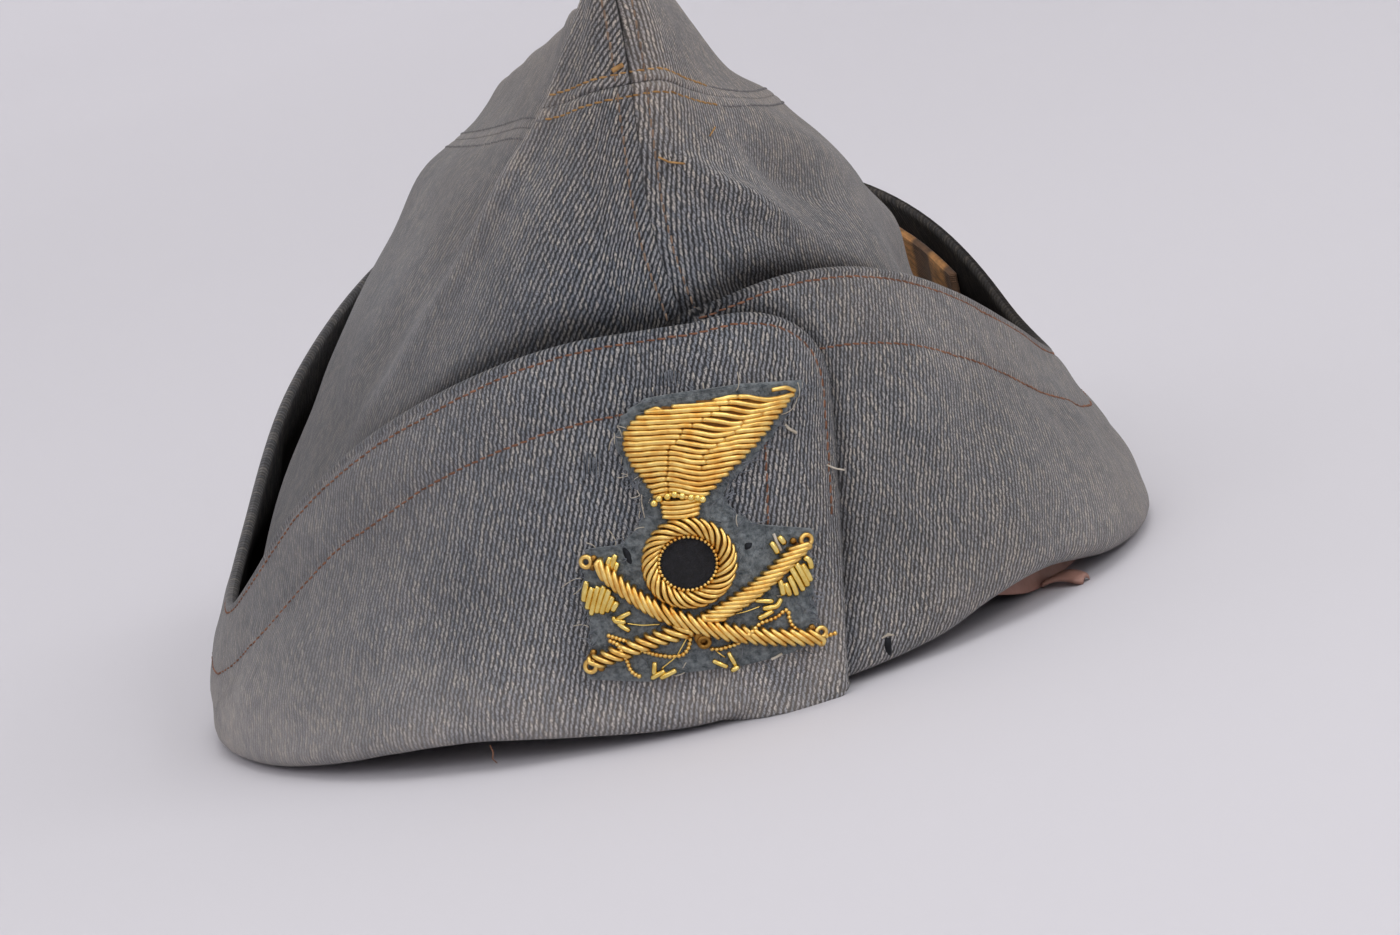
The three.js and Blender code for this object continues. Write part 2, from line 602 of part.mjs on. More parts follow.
// A round button of the badge
function button(right, up, radius, from, height) {
  const turns = spread(0, 2 * Math.PI, 25).slice(0, -1);
  const positions = [];
  const index = [];
  const rings = [
    { share: 1, off: from },
    { share: 1, off: from + 0.6 * height },
    { share: 0.7, off: from + 0.9 * height },
  ];
  for (const ring of rings) {
    for (const turn of turns) {
      const reach = ring.share * radius;
      const p = onFlap(right + reach * Math.cos(turn), up + reach * Math.sin(turn), ring.off);
      positions.push(p.x, p.y, p.z);
    }
  }
  for (const off of [from, from + height]) {
    const p = onFlap(right, up, off);
    positions.push(p.x, p.y, p.z);
  }
  const n = turns.length;
  const floor = rings.length * n;
  for (let i = 0; i < n; i += 1) {
    const next = (i + 1) % n;
    index.push(floor, next, i);
    for (let k = 0; k < rings.length - 1; k += 1) {
      const a = k * n;
      index.push(a + i, a + next, a + n + next, a + i, a + n + next, a + n + i);
    }
    const top = (rings.length - 1) * n;
    index.push(top + i, top + next, floor + 1);
  }
  return solid(positions, index);
}

// The under barrel stops short of the over one on both sides of their crossing
const underEnds = [UNDER_PATH[0], UNDER_PATH[UNDER_PATH.length - 1]];
const underLength = Math.hypot(underEnds[1].right - underEnds[0].right, underEnds[1].up - underEnds[0].up);
const underStop = BARREL.stop / underLength;

const pieces = [
  ["crown_side_right", sidePanel(-1), cloth],
  ["crown_side_left", sidePanel(1), cloth],
  ["crown_top_right", topPanel(-1), cloth],
  ["crown_top_left", topPanel(1), cloth],
  ["flap_right", flapRight(), cloth],
  ["flap_left", flapLeft(), cloth],
  ["sweatband", sweatband(), leather],
  ["sweatband_tab", bandTab(), leather],
  ["side_patch", sidePatch(), tan],
  ["badge_backing", plate(BACKING_ROWS, BADGE.lift, BACKING_THICK, 0, 9), felt],
  ["badge_flame", plate(FLAME_ROWS, OFF, 0.6, 1.6, 7), gold],
  ["badge_collar", plate(COLLAR_ROWS, OFF, 0.6, 1.0, 5), gold],
  ["badge_ring", badgeRing(), gold],
  ["badge_disc", button(0, 0, RING.inner, OFF, 1.0), black],
  ["badge_barrel_over", barrel(OVER_PATH, 0, 1, 12), gold],
  ["badge_barrel_under_low", barrel(UNDER_PATH, 0, CROSSING - underStop, 7), gold],
  ["badge_barrel_under_high", barrel(UNDER_PATH, CROSSING + underStop, 1, 7), gold],
  ["badge_boss", button(BOSS.right, BOSS.up, BOSS.radius, OFF, BOSS.height), gold],
  ["badge_fan_left", plate(LEFT_FAN_ROWS, OFF, 0.5, 0.9, 5), gold],
  ["badge_fan_right", plate(RIGHT_FAN_ROWS, OFF, 0.5, 0.9, 5), gold],
];

const cap = new THREE.Group();
cap.name = "side_cap";
for (const [name, geometry, material] of pieces) {
  const mesh = new THREE.Mesh(geometry.translate(0, CENTRE_Y, 0), material);
  mesh.name = name;
  cap.add(mesh);
}

export default cap;
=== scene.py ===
"""The looks of a grey twill side cap with a bullion badge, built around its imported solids.

Shapes are worked out in millimetres, in the frame of the solids before CENTRE_Y is added, and turned
into metres when a mesh is made. +X is the wearer's left, +Y the back and +Z up. Angles run round the
cap in degrees from the front, positive to the wearer's left. side is 1 for left and -1 for right.
"""
import math

import bpy
import numpy as np
from mathutils import Matrix, Vector
from mathutils.bvhtree import BVHTree


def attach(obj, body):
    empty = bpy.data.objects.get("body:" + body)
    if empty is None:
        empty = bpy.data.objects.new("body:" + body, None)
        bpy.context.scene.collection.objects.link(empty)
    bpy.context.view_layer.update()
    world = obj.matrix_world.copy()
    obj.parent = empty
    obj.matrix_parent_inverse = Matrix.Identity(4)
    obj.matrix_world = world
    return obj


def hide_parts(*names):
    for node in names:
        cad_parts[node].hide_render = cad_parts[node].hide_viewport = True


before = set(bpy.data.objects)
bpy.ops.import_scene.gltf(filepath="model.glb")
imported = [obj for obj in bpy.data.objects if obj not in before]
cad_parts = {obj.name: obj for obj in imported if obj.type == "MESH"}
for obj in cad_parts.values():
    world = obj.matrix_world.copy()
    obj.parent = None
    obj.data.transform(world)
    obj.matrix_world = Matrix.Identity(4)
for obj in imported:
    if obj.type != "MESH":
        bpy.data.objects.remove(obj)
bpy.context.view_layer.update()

MM = 0.001
CENTRE_Y = 1.7


def table(names, *rows):
    """A table with named columns."""
    return dict(zip(names.split(), np.array(rows, float).T))


# The crown from the rim to the crease of its top
CROWN = table(
    "level half front back z_front z_back sag pinch nose",
    [0.00, 89, -103, 102.5, 3.2, 3.2, 0, 1.10, 3],
    [0.18, 81, -105, 104.5, 30, 30, 0, 1.10, 3],
    [0.42, 66, -104, 103.5, 62, 58, 0, 1.12, 3],
    [0.60, 51, -102, 100.5, 88, 76, 1, 1.12, 3],
    [0.78, 31, -100, 97, 110, 92, 1, 1.08, 3.5],
    [0.87, 20, -99, 95, 120, 100, 1, 1.05, 4],
    [0.94, 12, -98, 93, 131, 106, 1.5, 1.00, 4],
    [1.00, 6, -97, 91.5, 140, 110, 2, 1.00, 3.6],
    [1.05, 2.5, -95, 89.5, 139, 109, 5, 1.00, 2.2],
    [1.12, 0, -91.5, 86.5, 133, 104, 15, 1.00, 0],
)
CREASE_LEVEL = 1.12
NOSE_SPREAD = 4
SEAM_GAP = 0.06
CROWN_CLOTH = 2.0
# The level of the seam between the side and top panels
SEAM = table(
    "angle level",
    [-180, 0.87], [-60, 0.862], [-40, 0.862], [-25, 0.872], [0, 0.872], [12, 0.862],
    [22, 0.842], [40, 0.803], [70, 0.79], [120, 0.82], [180, 0.87],
)
# The peak leans to the wearer's left, and the upper crown does so behind its front
PEAK_FROM, PEAK_TO, PEAK_SHIFT = 85, 140, 5.0
TURN_FROM, TURN_TO, TURN_FRONT, TURN_BACK, TURN_START, TURN_REACH = 65, 100, -2.0, 5.0, -100, 60
# Soft dents (negative) and swells of the crown, each turned so that it runs along a diagonal
RIDGE_ANGLE, RIDGE_LEVEL, RIDGE_TURN = -38, 0.80, -0.0112
CROWN_DENTS = table(
    "angle level turn wide high depth",
    [20, 0.655, 0.006, 11, 0.032, 6.2],
    [16, 0.525, 0.004, 14, 0.04, -6.0],
    [-14, 0.53, 0, 16, 0.04, -4.0],
    [37, 0.67, 0.006, 9, 0.05, -3.6],
    [48, 0.72, 0.006, 14, 0.06, 2.0],
    [40, 0.97, 0, 24, 0.07, 1.8],
    [64, 0.80, 0, 18, 0.05, 1.2],
    [80, 0.51, 0, 14, 0.05, 2.0],
    [68, 0.40, 0, 10, 0.13, -6.0],
    [90, 0.38, 0, 40, 0.13, -6.0],
    [RIDGE_ANGLE, RIDGE_LEVEL, RIDGE_TURN, 20, 0.05, 3.6],
    [-53, 0.78, RIDGE_TURN, 18, 0.09, -4.5],
    [-26, 1.00, 0, 14, 0.05, -3.0],
    [-85, 0.48, 0, 40, 0.20, -4.5],
    [-113, 0.80, 0, 30, 0.08, 4.0],
    [-150, 0.55, 0, 16, 0.14, -2.5],
    [145, 0.60, 0, 16, 0.14, -2.5],
)
# Rows of a panel's mesh from its lower edge to its upper one, close together at the ring seam
SIDE_SHARES = np.concatenate([np.linspace(0, 0.94, 70), 1 - 0.06 * np.linspace(0.96, 0.002, 26)])
TOP_SHARES = np.concatenate([0.2 * np.linspace(0.003, 0.96, 26), np.linspace(0.2, 1, 30)])

# The flaps, the middle of their cloth: the turned-in foot, the wall and the two top edges
FLAP_CLOTH = 2.6
FOOT = table(
    "step half front back z",
    [0, 90.6, -101.5, 101.0, 1.3],
    [1, 94.0, -104.5, 104.5, 1.3],
    [2, 97.2, -107.2, 108.0, 1.3],
    [3, 99.2, -109.8, 110.6, 3.0],
    [4, 98.8, -110.6, 111.4, 7.0],
)
WALL = table(
    "z half front back",
    [0, 99.4, -110.4, 111.2],
    [7, 98.8, -110.6, 111.4],
    [38, 85.5, -110.8, 111.0],
    [60, 77.5, -109.8, 110.0],
    [76, 71.0, -108.8, 109.0],
    [95, 62.0, -107.5, 107.5],
)
WALL_START = 7
WALL_PINCH = 1.1
RIGHT_EDGE = table(
    "angle z",
    [0, 75.5], [10, 76.5], [20, 77], [30, 75.5], [40, 72], [50, 66.7], [60, 59.2], [70, 49.2],
    [80, 36.8], [86, 30.5], [92, 28], [99, 30.5], [106, 37], [126, 60], [150, 79], [180, 86],
)
LEFT_EDGE = table(
    "angle z",
    [0, 77.5], [22, 78], [32, 75.2], [40, 70.7], [50, 62], [60, 51.5], [70, 42.5], [78, 38.5],
    [86, 38.8], [92, 42], [99, 49.5], [106, 56.5], [126, 74], [150, 84.5], [180, 86],
)
TAB_REACH, TAB_SLANT, TAB_CORNER, TAB_FOOT = 12, 0.2, 20, 2.4
TUCK_REACH, TUCK_INSET, TUCK_FROM, TUCK_TO, TUCK_DROP = 14, 3.1, 19, 42, 3
FLARE_ANGLE, FLARE_WIDE, FLARE_FROM, FLARE_TO = 112, 36, 30, 75
LEFT_FLARE, RIGHT_FLARE = 11.5, 2.5
RIGHT_LIFT_ANGLE, RIGHT_LIFT_WIDE, RIGHT_LIFT = -40, 21, 5.2
LEFT_LIFT_ANGLE, LEFT_LIFT_WIDE, LEFT_LIFT = 38, 14, 5.0
FRONT_LIFT_FROM, FRONT_LIFT_TO, FRONT_LIFT = 38, 76, 1.7
TUCK_LIFT, TUCK_LIFT_TO = 3.7, 8
LIFT_FADE = 40
# Rows of a flap's mesh below its top edge and columns of its tab, close together where it is sewn
EDGE_ROWS = np.array([
    20, 18, 17, 16.2, 15.6, 15, 14.4, 13.8, 13, 11.5, 10, 8.5, 7, 5.5, 4.4, 3.6, 3, 2.5, 2.1,
    1.7, 1.3, 0.95, 0.65, 0.4, 0.2, 0.07, 0,
])
TAB_SHARES = (
    0, 0.06, 0.12, 0.18, 0.25, 0.32, 0.39, 0.46, 0.52, 0.58, 0.64, 0.69, 0.74, 0.785, 0.82, 0.85,
    0.875, 0.9, 0.92, 0.938, 0.954, 0.968, 0.98, 0.989, 0.995, 0.9985, 1,
)

# The sweatband, its loose end, and the patch inside the left flap with its drop below the flap's edge
BAND_HALF, BAND_FRONT, BAND_BACK, BAND_LOW, BAND_HIGH, BAND_LEAN = 88.4, -100.2, 99.7, 0.4, 31, 9.2
BAND_SHOW_FROM, BAND_SHOW_TO, LEATHER = 28, 46, 1.2
BAND_TAB_ANGLE, BAND_TAB_LENGTH, BAND_TAB_WIDTH, BAND_TAB_THICK = 47, 9, 6, 0.9
PATCH_ANGLES, PATCH_DROPS = (106, 119), (6, 17)

# Sewing: the stitches, and the distance of the seam lines from the edges they follow
STITCH, STITCH_PITCH, STITCH_RADIUS, STITCH_STEP = 1.75, 2.0, 0.22, 0.25
EDGE_LINE, SECOND_LINE = 2.1, 15.0
FRONT_LINE, RING_LINE, RING_THREAD_TURN = 2.8, 2.2, 32
CROWN_MIDDLE = (0, 0, 55.0)

# Twill: pitch of the wales, length of a yarn's float, and the wales' lean from each panel's upright
WALE, YARN = 0.92, 1.35
LEAN = {
    "flap": 23, "crown_side_right": 38, "crown_side_left": 10, "crown_top_right": 46, "crown_top_left": -6,
}

# The badge: its ring's centre on the flap, the turn of its upright, how its left side is drawn in
# and how it is stacked
BADGE_X, BADGE_Z, BADGE_TURN = -11.4, 32.8, 14
NARROW_FROM, NARROW = -5, 0.84
BADGE_LIFT, BACKING_THICK = 0.5, 0.8
WORK_LIFT = BADGE_LIFT + BACKING_THICK
RING_RADIUS, RING_HALF, RING_SWEEP, RING_WIRES = 6.9, 1.45, 44, 28
COLLAR_LEFT, COLLAR_RIGHT, COLLAR_LOW, COLLAR_HIGH = -4.4, 1.8, 8.7, 11.4
# First, last and pitch of the flame's wires and of its stuffing, and the flame's foot and height
FLAME_WIRES, FLAME_STUFFING = (12.4, 30.9, 0.98), (12.6, 29.8, 0.5)
FLAME_FOOT, FLAME_TALL = 11.4, 20.1
# Radii of the wires and half the width of a barrel
FLAME_WIRE, COLLAR_WIRE, RING_WIRE, BARREL_WIRE, BARREL_HALF = 0.5, 0.46, 0.43, 0.49, 1.5
# How many fibres lie on the felt, and the pitch of a darn's threads
FIBRES, DARN_PITCH = 320, 0.62

# The camera's view of the cap
AZIMUTH, ELEVATION, ROLL = math.radians(-8), math.radians(8), math.radians(14.2)
DISTANCE, PIXELS_PER_MM, FRAME_WIDE, SENSOR = 950, 4.9, 1400, 36
AIM, RIGHT_OF_AIM, BELOW_AIM = np.array([0, -18.3, 65.0]), 15.5, 28.1


# Sums

def mix(a, b, t):
    return a + (b - a) * t


def ease(x):
    """0 to 1 with soft ends."""
    t = np.clip(x, 0, 1)
    return t * t * (3 - 2 * t)


def between(x, low, high):
    """0 to 1 with soft ends as x goes from low to high."""
    return ease((x - low) / (high - low))


def hill(x):
    return np.exp(-np.square(x))


def curve(rows, along, column, x):
    """A smooth curve through one column of a table."""
    t, v = rows[along], rows[column]
    step = np.diff(t)
    slope = np.diff(v) / step
    middle = (slope[:-1] * step[1:] + slope[1:] * step[:-1]) / (step[:-1] + step[1:])
    tangent = np.concatenate([slope[:1], middle, slope[-1:]])
    i = np.clip(np.searchsorted(t, x) - 1, 0, len(t) - 2)
    s = np.clip((x - t[i]) / step[i], 0, 1)
    start = (1 + 2 * s) * (1 - s) ** 2 * v[i] + s * (1 - s) ** 2 * step[i] * tangent[i]
    end = s * s * (3 - 2 * s) * v[i + 1] + s * s * (s - 1) * step[i] * tangent[i + 1]
    return start + end


def linear(rows, along, column, x):
    return np.interp(x, rows[along], rows[column])


def stack(x, y, z):
    return np.stack(np.broadcast_arrays(x, y, z), -1).astype(float)


def grid(a, b):
    return np.meshgrid(a, b, indexing="ij")


def circle(count):
    """Angles of points evenly round a circle."""
    return np.arange(count) * 2 * math.pi / count


def unit(v):
    return v / np.maximum(np.linalg.norm(v, axis=-1, keepdims=True), 1e-9)


def waves(u, v, size, seed):
    """Smooth noise between about -1 and 1 with bumps about size wide."""
    draw = np.random.default_rng(seed)
    total = 0
    for _ in range(7):
        turn, phase = draw.uniform(0, 2 * math.pi, 2)
        length = size * draw.uniform(0.7, 1.6)
        total = total + np.sin((u * math.cos(turn) + v * math.sin(turn)) * 2 * math.pi / length + phase)
    return total / 3.5


def spaced(total, first, grow, most):
    """Places from 0 to total with steps that grow from first to most."""
    places, step = [0.0], first
    while places[-1] < total:
        places.append(places[-1] + step)
        step = min(step * grow, most)
    return np.array(places) * total / places[-1]


def lengths(points, axis):
    """Distance run along one axis of a line or grid of points."""
    steps = np.linalg.norm(np.diff(points, axis=axis), axis=-1)
    zero = np.zeros_like(np.take(steps, [0], axis))
    return np.concatenate([zero, np.cumsum(steps, axis)], axis)


def grid_normals(points):
    return unit(np.cross(np.gradient(points, axis=0), np.gradient(points, axis=1)))


def groove(distance, at, wide, depth):
    return -depth * hill((distance - at) / wide)


def rounded(distance, radius):
    """Thickness share near a rounded edge."""
    return np.sqrt(np.clip(1 - (1 - np.clip(distance / radius, 0, 1)) ** 2, 0.0004, 1))


def resample(line, at, run):
    """A line of points or directions, known at run, read off at other places."""
    return np.stack([np.interp(at, run, column) for column in line.T], 1)


def even(line, pitch):
    """Points along a line at an even pitch."""
    run = lengths(line, 0)
    return resample(line, np.linspace(0, run[-1], max(3, round(run[-1] / pitch) + 1)), run)


def smooth_line(line, times=2):
    for _ in range(times):
        line = np.concatenate([line[:1], (line[:-2] + 2 * line[1:-1] + line[2:]) / 4, line[-1:]])
    return line


# Shapes of the cap

def oval(angle, half, front, back, pinch):
    """The oval that every level of the cap follows."""
    sine = np.sin(np.radians(angle))
    return np.sign(sine) * half * np.abs(sine) ** pinch, mix(front, back, way_back(angle))


def way_back(angle):
    return (1 - np.cos(np.radians(angle))) / 2


def right_lift(angle):
    return RIGHT_LIFT * hill((angle - RIGHT_LIFT_ANGLE) / RIGHT_LIFT_WIDE)


def left_lift(angle):
    front = FRONT_LIFT * (1 - between(angle, FRONT_LIFT_FROM, FRONT_LIFT_TO))
    tuck = TUCK_LIFT * (1 - ease(angle / TUCK_LIFT_TO))
    return front + tuck + LEFT_LIFT * hill((angle - LEFT_LIFT_ANGLE) / LEFT_LIFT_WIDE)


def rim_lift(angle):
    right = np.maximum(right_lift(angle), left_lift(0) * ease(1 + angle / 14))
    return np.where(angle >= 0, left_lift(angle), right)


def crown_base(side, angle, level):
    """One side of the crown's outer face, before dents and lean."""
    at = {name: curve(CROWN, "level", name, level) for name in CROWN}
    x, y = oval(angle, at["half"], at["front"], at["back"], at["pinch"])
    from_end = np.minimum(np.abs(angle), 180 - np.abs(angle))
    nose = at["nose"] * (1 - np.exp(-from_end / NOSE_SPREAD))
    z = mix(at["z_front"], at["z_back"], way_back(angle)) - at["sag"] * np.sin(np.radians(angle)) ** 2
    x = side * np.maximum(SEAM_GAP / 2, np.abs(x) + nose)
    return stack(x, y, z + rim_lift(angle) * (1 - ease(z / LIFT_FADE)))


def crown_dent(angle, level):
    depth = 0
    for row in zip(*CROWN_DENTS.values()):
        dent = dict(zip(CROWN_DENTS, row))
        across = (angle - dent["angle"]) / dent["wide"]
        along = (level - dent["level"] + dent["turn"] * (angle - dent["angle"])) / dent["high"]
        depth = depth + dent["depth"] * hill(across) * hill(along)
    return depth


def crown_normal(side, angle, level):
    inside = side * np.clip(np.abs(angle), 0.6, 179.4)
    along = crown_base(side, inside + 0.5, level) - crown_base(side, inside - 0.5, level)
    up = crown_base(side, inside, level + 0.004) - crown_base(side, inside, level - 0.004)
    return unit(np.cross(along, up))


def crown_point(side, angle, level, out):
    """A point of the crown, out millimetres off its plain outer face."""
    push = crown_dent(angle, level) * np.abs(np.sin(np.radians(angle))) ** 0.5 + out
    p = crown_base(side, angle, level) + crown_normal(side, angle, level) * np.asarray(push)[..., None]
    y, z = p[..., 1], p[..., 2]
    turn = mix(TURN_FRONT, TURN_BACK, ease((y - TURN_START) / TURN_REACH)) * between(z, TURN_FROM, TURN_TO)
    lean = PEAK_SHIFT * between(z, PEAK_FROM, PEAK_TO)
    p[..., 0] = side * np.maximum(SEAM_GAP / 2, side * p[..., 0]) + turn + lean
    return p


def wall_point(angle, z):
    """The middle of a flap's wall."""
    x, y = oval(angle, *(curve(WALL, "z", name, z) for name in ("half", "front", "back")), WALL_PINCH)
    return stack(x, y, z)


def foot_point(angle, step):
    """The middle of a flap's turned-in foot."""
    x, y = oval(angle, *(curve(FOOT, "step", name, step) for name in ("half", "front", "back")), WALL_PINCH)
    return stack(x, y, curve(FOOT, "step", "z", step))


def front_angle(x, z):
    """The angle at which a wall's front reaches x."""
    half = curve(WALL, "z", "half", z)
    return np.sign(x) * np.degrees(np.arcsin((np.abs(x) / half) ** (1 / WALL_PINCH)))


def on_flap(right, up, off):
    """A badge point: right and up from the ring's centre, off millimetres above the flap's face."""
    turn = math.radians(-BADGE_TURN)
    right = np.where(right < NARROW_FROM, NARROW_FROM + NARROW * (right - NARROW_FROM), right)
    x = BADGE_X + right * math.cos(turn) - up * math.sin(turn)
    z = BADGE_Z + right * math.sin(turn) + up * math.cos(turn)

    def face(dx, dz):
        return wall_point(front_angle(x + dx, z + dz), z + dz)

    normal = unit(np.cross(face(0.5, 0) - face(-0.5, 0), face(0, 0.5) - face(0, -0.5)))
    return face(0, 0) + normal * (FLAP_CLOTH / 2 + np.asarray(off))[..., None]


# Meshes

def to_metres(points):
    return (np.asarray(points, float) + (0, CENTRE_Y, 0)) * MM


def add_mesh(name, points, faces, material, uvs=None, marks=None):
    """A mesh object in metres that rides with the cap. uvs and marks are given for each vertex."""
    mesh = bpy.data.meshes.new(name)
    mesh.from_pydata(to_metres(points).tolist(), [], [list(f) for f in faces])
    mesh.materials.append(material)
    mesh.polygons.foreach_set("use_smooth", [True] * len(mesh.polygons))
    if uvs is not None:
        corner = np.zeros(len(mesh.loops), int)
        mesh.loops.foreach_get("vertex_index", corner)
        layer = mesh.uv_layers.new(name="cloth")
        layer.data.foreach_set("uv", np.asarray(uvs, float)[corner].ravel())
    if marks is not None:
        # Per vertex: wear and painted light where positive, painted shade where negative.
        attribute = mesh.attributes.new("wear_and_painted_light", "FLOAT", "POINT")
        attribute.data.foreach_set("value", np.asarray(marks, float))
    mesh.update()
    piece = bpy.data.objects.new(name, mesh)
    bpy.context.scene.collection.objects.link(piece)
    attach(piece, "root")
    return piece


def shell_faces(columns, rows, wrap):
    """Faces of a closed solid from an outer and an inner grid."""
    outer, inner = np.arange(2 * columns * rows).reshape(2, columns, rows)
    if wrap:
        outer, inner = (np.concatenate([g, g[:1]]) for g in (outer, inner))

    def quads(a, b, c, d):
        return np.stack([a.ravel(), b.ravel(), c.ravel(), d.ravel()], 1)

    parts = [
        quads(outer[:-1, :-1], outer[1:, :-1], outer[1:, 1:], outer[:-1, 1:]),
        quads(inner[:-1, :-1], inner[:-1, 1:], inner[1:, 1:], inner[1:, :-1]),
        quads(inner[:-1, 0], inner[1:, 0], outer[1:, 0], outer[:-1, 0]),
        quads(outer[:-1, -1], outer[1:, -1], inner[1:, -1], inner[:-1, -1]),
    ]
    if not wrap:
        parts.append(quads(outer[0, :-1], outer[0, 1:], inner[0, 1:], inner[0, :-1]))
        parts.append(quads(inner[-1, :-1], inner[-1, 1:], outer[-1, 1:], outer[-1, :-1]))
    return np.concatenate(parts)


def add_shell(name, node, slot, outer, inner, uv=None, wear_and_painted_light=None, inside=None, wrap=False, flip=False):
    """A shell in place of a solid, with wear, painted light and painted shade given for its outer faces and,
    through inside, for its inner ones.
    """
    points = np.concatenate([outer.reshape(-1, 3), inner.reshape(-1, 3)])
    faces = shell_faces(*outer.shape[:2], wrap)
    if flip:
        faces = faces[:, ::-1]
    uvs = None if uv is None else np.concatenate([uv.reshape(-1, 2)] * 2)
    marks = None
    if wear_and_painted_light is not None:
        marks = np.concatenate([wear_and_painted_light.ravel(), (wear_and_painted_light if inside is None else inside).ravel()])
    piece = add_mesh(name, points, faces, CLOTHS[slot], uvs, marks)
    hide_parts(node)
    return piece


def ring_faces(rings, sides, closed=False):
    """Faces between rings of points, with end caps unless the last ring meets the first."""
    k = np.arange(sides)
    after = (k + 1) % sides
    faces = []
    for i in range(rings if closed else rings - 1):
        a, b = i * sides, (i + 1) % rings * sides
        faces.extend(np.stack([a + k, b + k, b + after, a + after], 1))
    if not closed:
        faces += [k, (rings - 1) * sides + k[::-1]]
    return faces


class Strands:
    """Collects tubes and beads into one mesh."""

    def __init__(self):
        self.points, self.faces, self.uvs, self.count = [], [], [], 0

    def add(self, points, faces, uvs):
        self.points.append(points)
        self.faces.extend((np.asarray(f) + self.count).tolist() for f in faces)
        self.uvs.append(uvs)
        self.count += len(points)

    def tube(self, path, radius, sides=7, closed=False, facing=(0, -1, 0)):
        path = np.asarray(path, float)
        n = len(path)
        if closed:
            tangent = unit(np.roll(path, -1, 0) - np.roll(path, 1, 0))
        else:
            tangent = unit(np.gradient(path, axis=0))
        across = unit(np.cross(tangent, np.broadcast_to(facing, path.shape)))
        rise = np.cross(across, tangent)
        turn = circle(sides)
        ring = across[:, None] * np.cos(turn)[:, None] + rise[:, None] * np.sin(turn)[:, None]
        points = (path[:, None] + ring * np.broadcast_to(radius, n)[:, None, None]).reshape(-1, 3)
        uvs = np.stack([np.repeat(lengths(path, 0) + 7.3 * self.count, sides), np.tile(turn, n)], 1)
        self.add(points, ring_faces(n, sides, closed), uvs)

    def bead(self, centre, radius, flat=1.0, turns=8, rows=5):
        normal = np.array([0, -1.0, 0])
        a = unit(np.cross(normal, (0.3, 0.2, 1.0)))
        b = np.cross(normal, a)
        turn = circle(turns)
        ring = a * np.cos(turn)[:, None] + b * np.sin(turn)[:, None]
        tilts = np.linspace(0.12, math.pi - 0.12, rows)
        rings = [ring * math.sin(tilt) + normal * math.cos(tilt) * flat for tilt in tilts]
        points = centre + radius * np.concatenate(rings)
        self.add(points, ring_faces(rows, turns), points[:, [0, 2]])

    def make(self, name, material, slot):
        points, uvs = np.concatenate(self.points), np.concatenate(self.uvs)
        piece = add_mesh(name, points, self.faces, material, uvs)
        return piece


# Materials

def shade(red, green, blue):
    """A linear colour from eight-bit screen values."""
    parts = []
    for value in (red, green, blue):
        c = value / 255
        parts.append(c / 12.92 if c <= 0.04045 else ((c + 0.055) / 1.055) ** 2.4)
    return (*parts, 1.0)


class Look:
    """A node material around one Principled shader."""

    def __init__(self, name, **sockets):
        self.material = bpy.data.materials.new(name)
        self.material.use_nodes = True
        self.nodes = self.material.node_tree.nodes
        for socket, value in sockets.items():
            self.set(socket.replace("_", " "), value)

    def set(self, socket, value):
        self.put(self.nodes["Principled BSDF"].inputs[socket], value)

    def put(self, socket, value):
        if isinstance(value, bpy.types.NodeSocket):
            self.material.node_tree.links.new(value, socket)
        elif value is not None:
            socket.default_value = value

    def add(self, kind, inputs, output=0, **settings):
        made = self.nodes.new("ShaderNode" + kind)
        for name, value in settings.items():
            setattr(made, name, value)
        for key, value in inputs.items():
            self.put(made.inputs[key], value)
        return made.outputs[output]

    def math(self, operation, a, b=None, c=None):
        return self.add("Math", {0: a, 1: b, 2: c}, operation=operation)

    def plus(self, a, b):
        return self.math("ADD", a, b)

    def minus(self, a, b):
        return self.math("SUBTRACT", a, b)

    def times(self, a, b):
        return self.math("MULTIPLY", a, b)

    def blend(self, share, a, b, way="MIX"):
        return self.add("Mix", {0: share, 6: a, 7: b}, 2, data_type="RGBA", blend_type=way)

    def noise(self, vector, scale, detail=2.0, rough=0.5):
        inputs = {"Vector": vector, "Scale": scale, "Detail": detail, "Roughness": rough}
        return self.add("TexNoise", inputs, "Fac")

    def stray(self, vector, scale, detail, size):
        """Noise about zero."""
        return self.times(self.minus(self.noise(vector, scale, detail), 0.5), size)

    def range(self, value, low, high, to_low=0.0, to_high=1.0):
        return self.add("MapRange", {0: value, 1: low, 2: high, 3: to_low, 4: to_high})

    def uv(self):
        return self.add("UVMap", {}, uv_map="cloth")

    def place(self):
        return self.add("TexCoord", {}, "Object")

    def parts(self, vector):
        return self.add("SeparateXYZ", {0: vector}).node.outputs

    def bump(self, height, distance, strength):
        inputs = {"Height": height, "Distance": distance * MM, "Strength": strength}
        self.set("Normal", self.add("Bump", inputs))


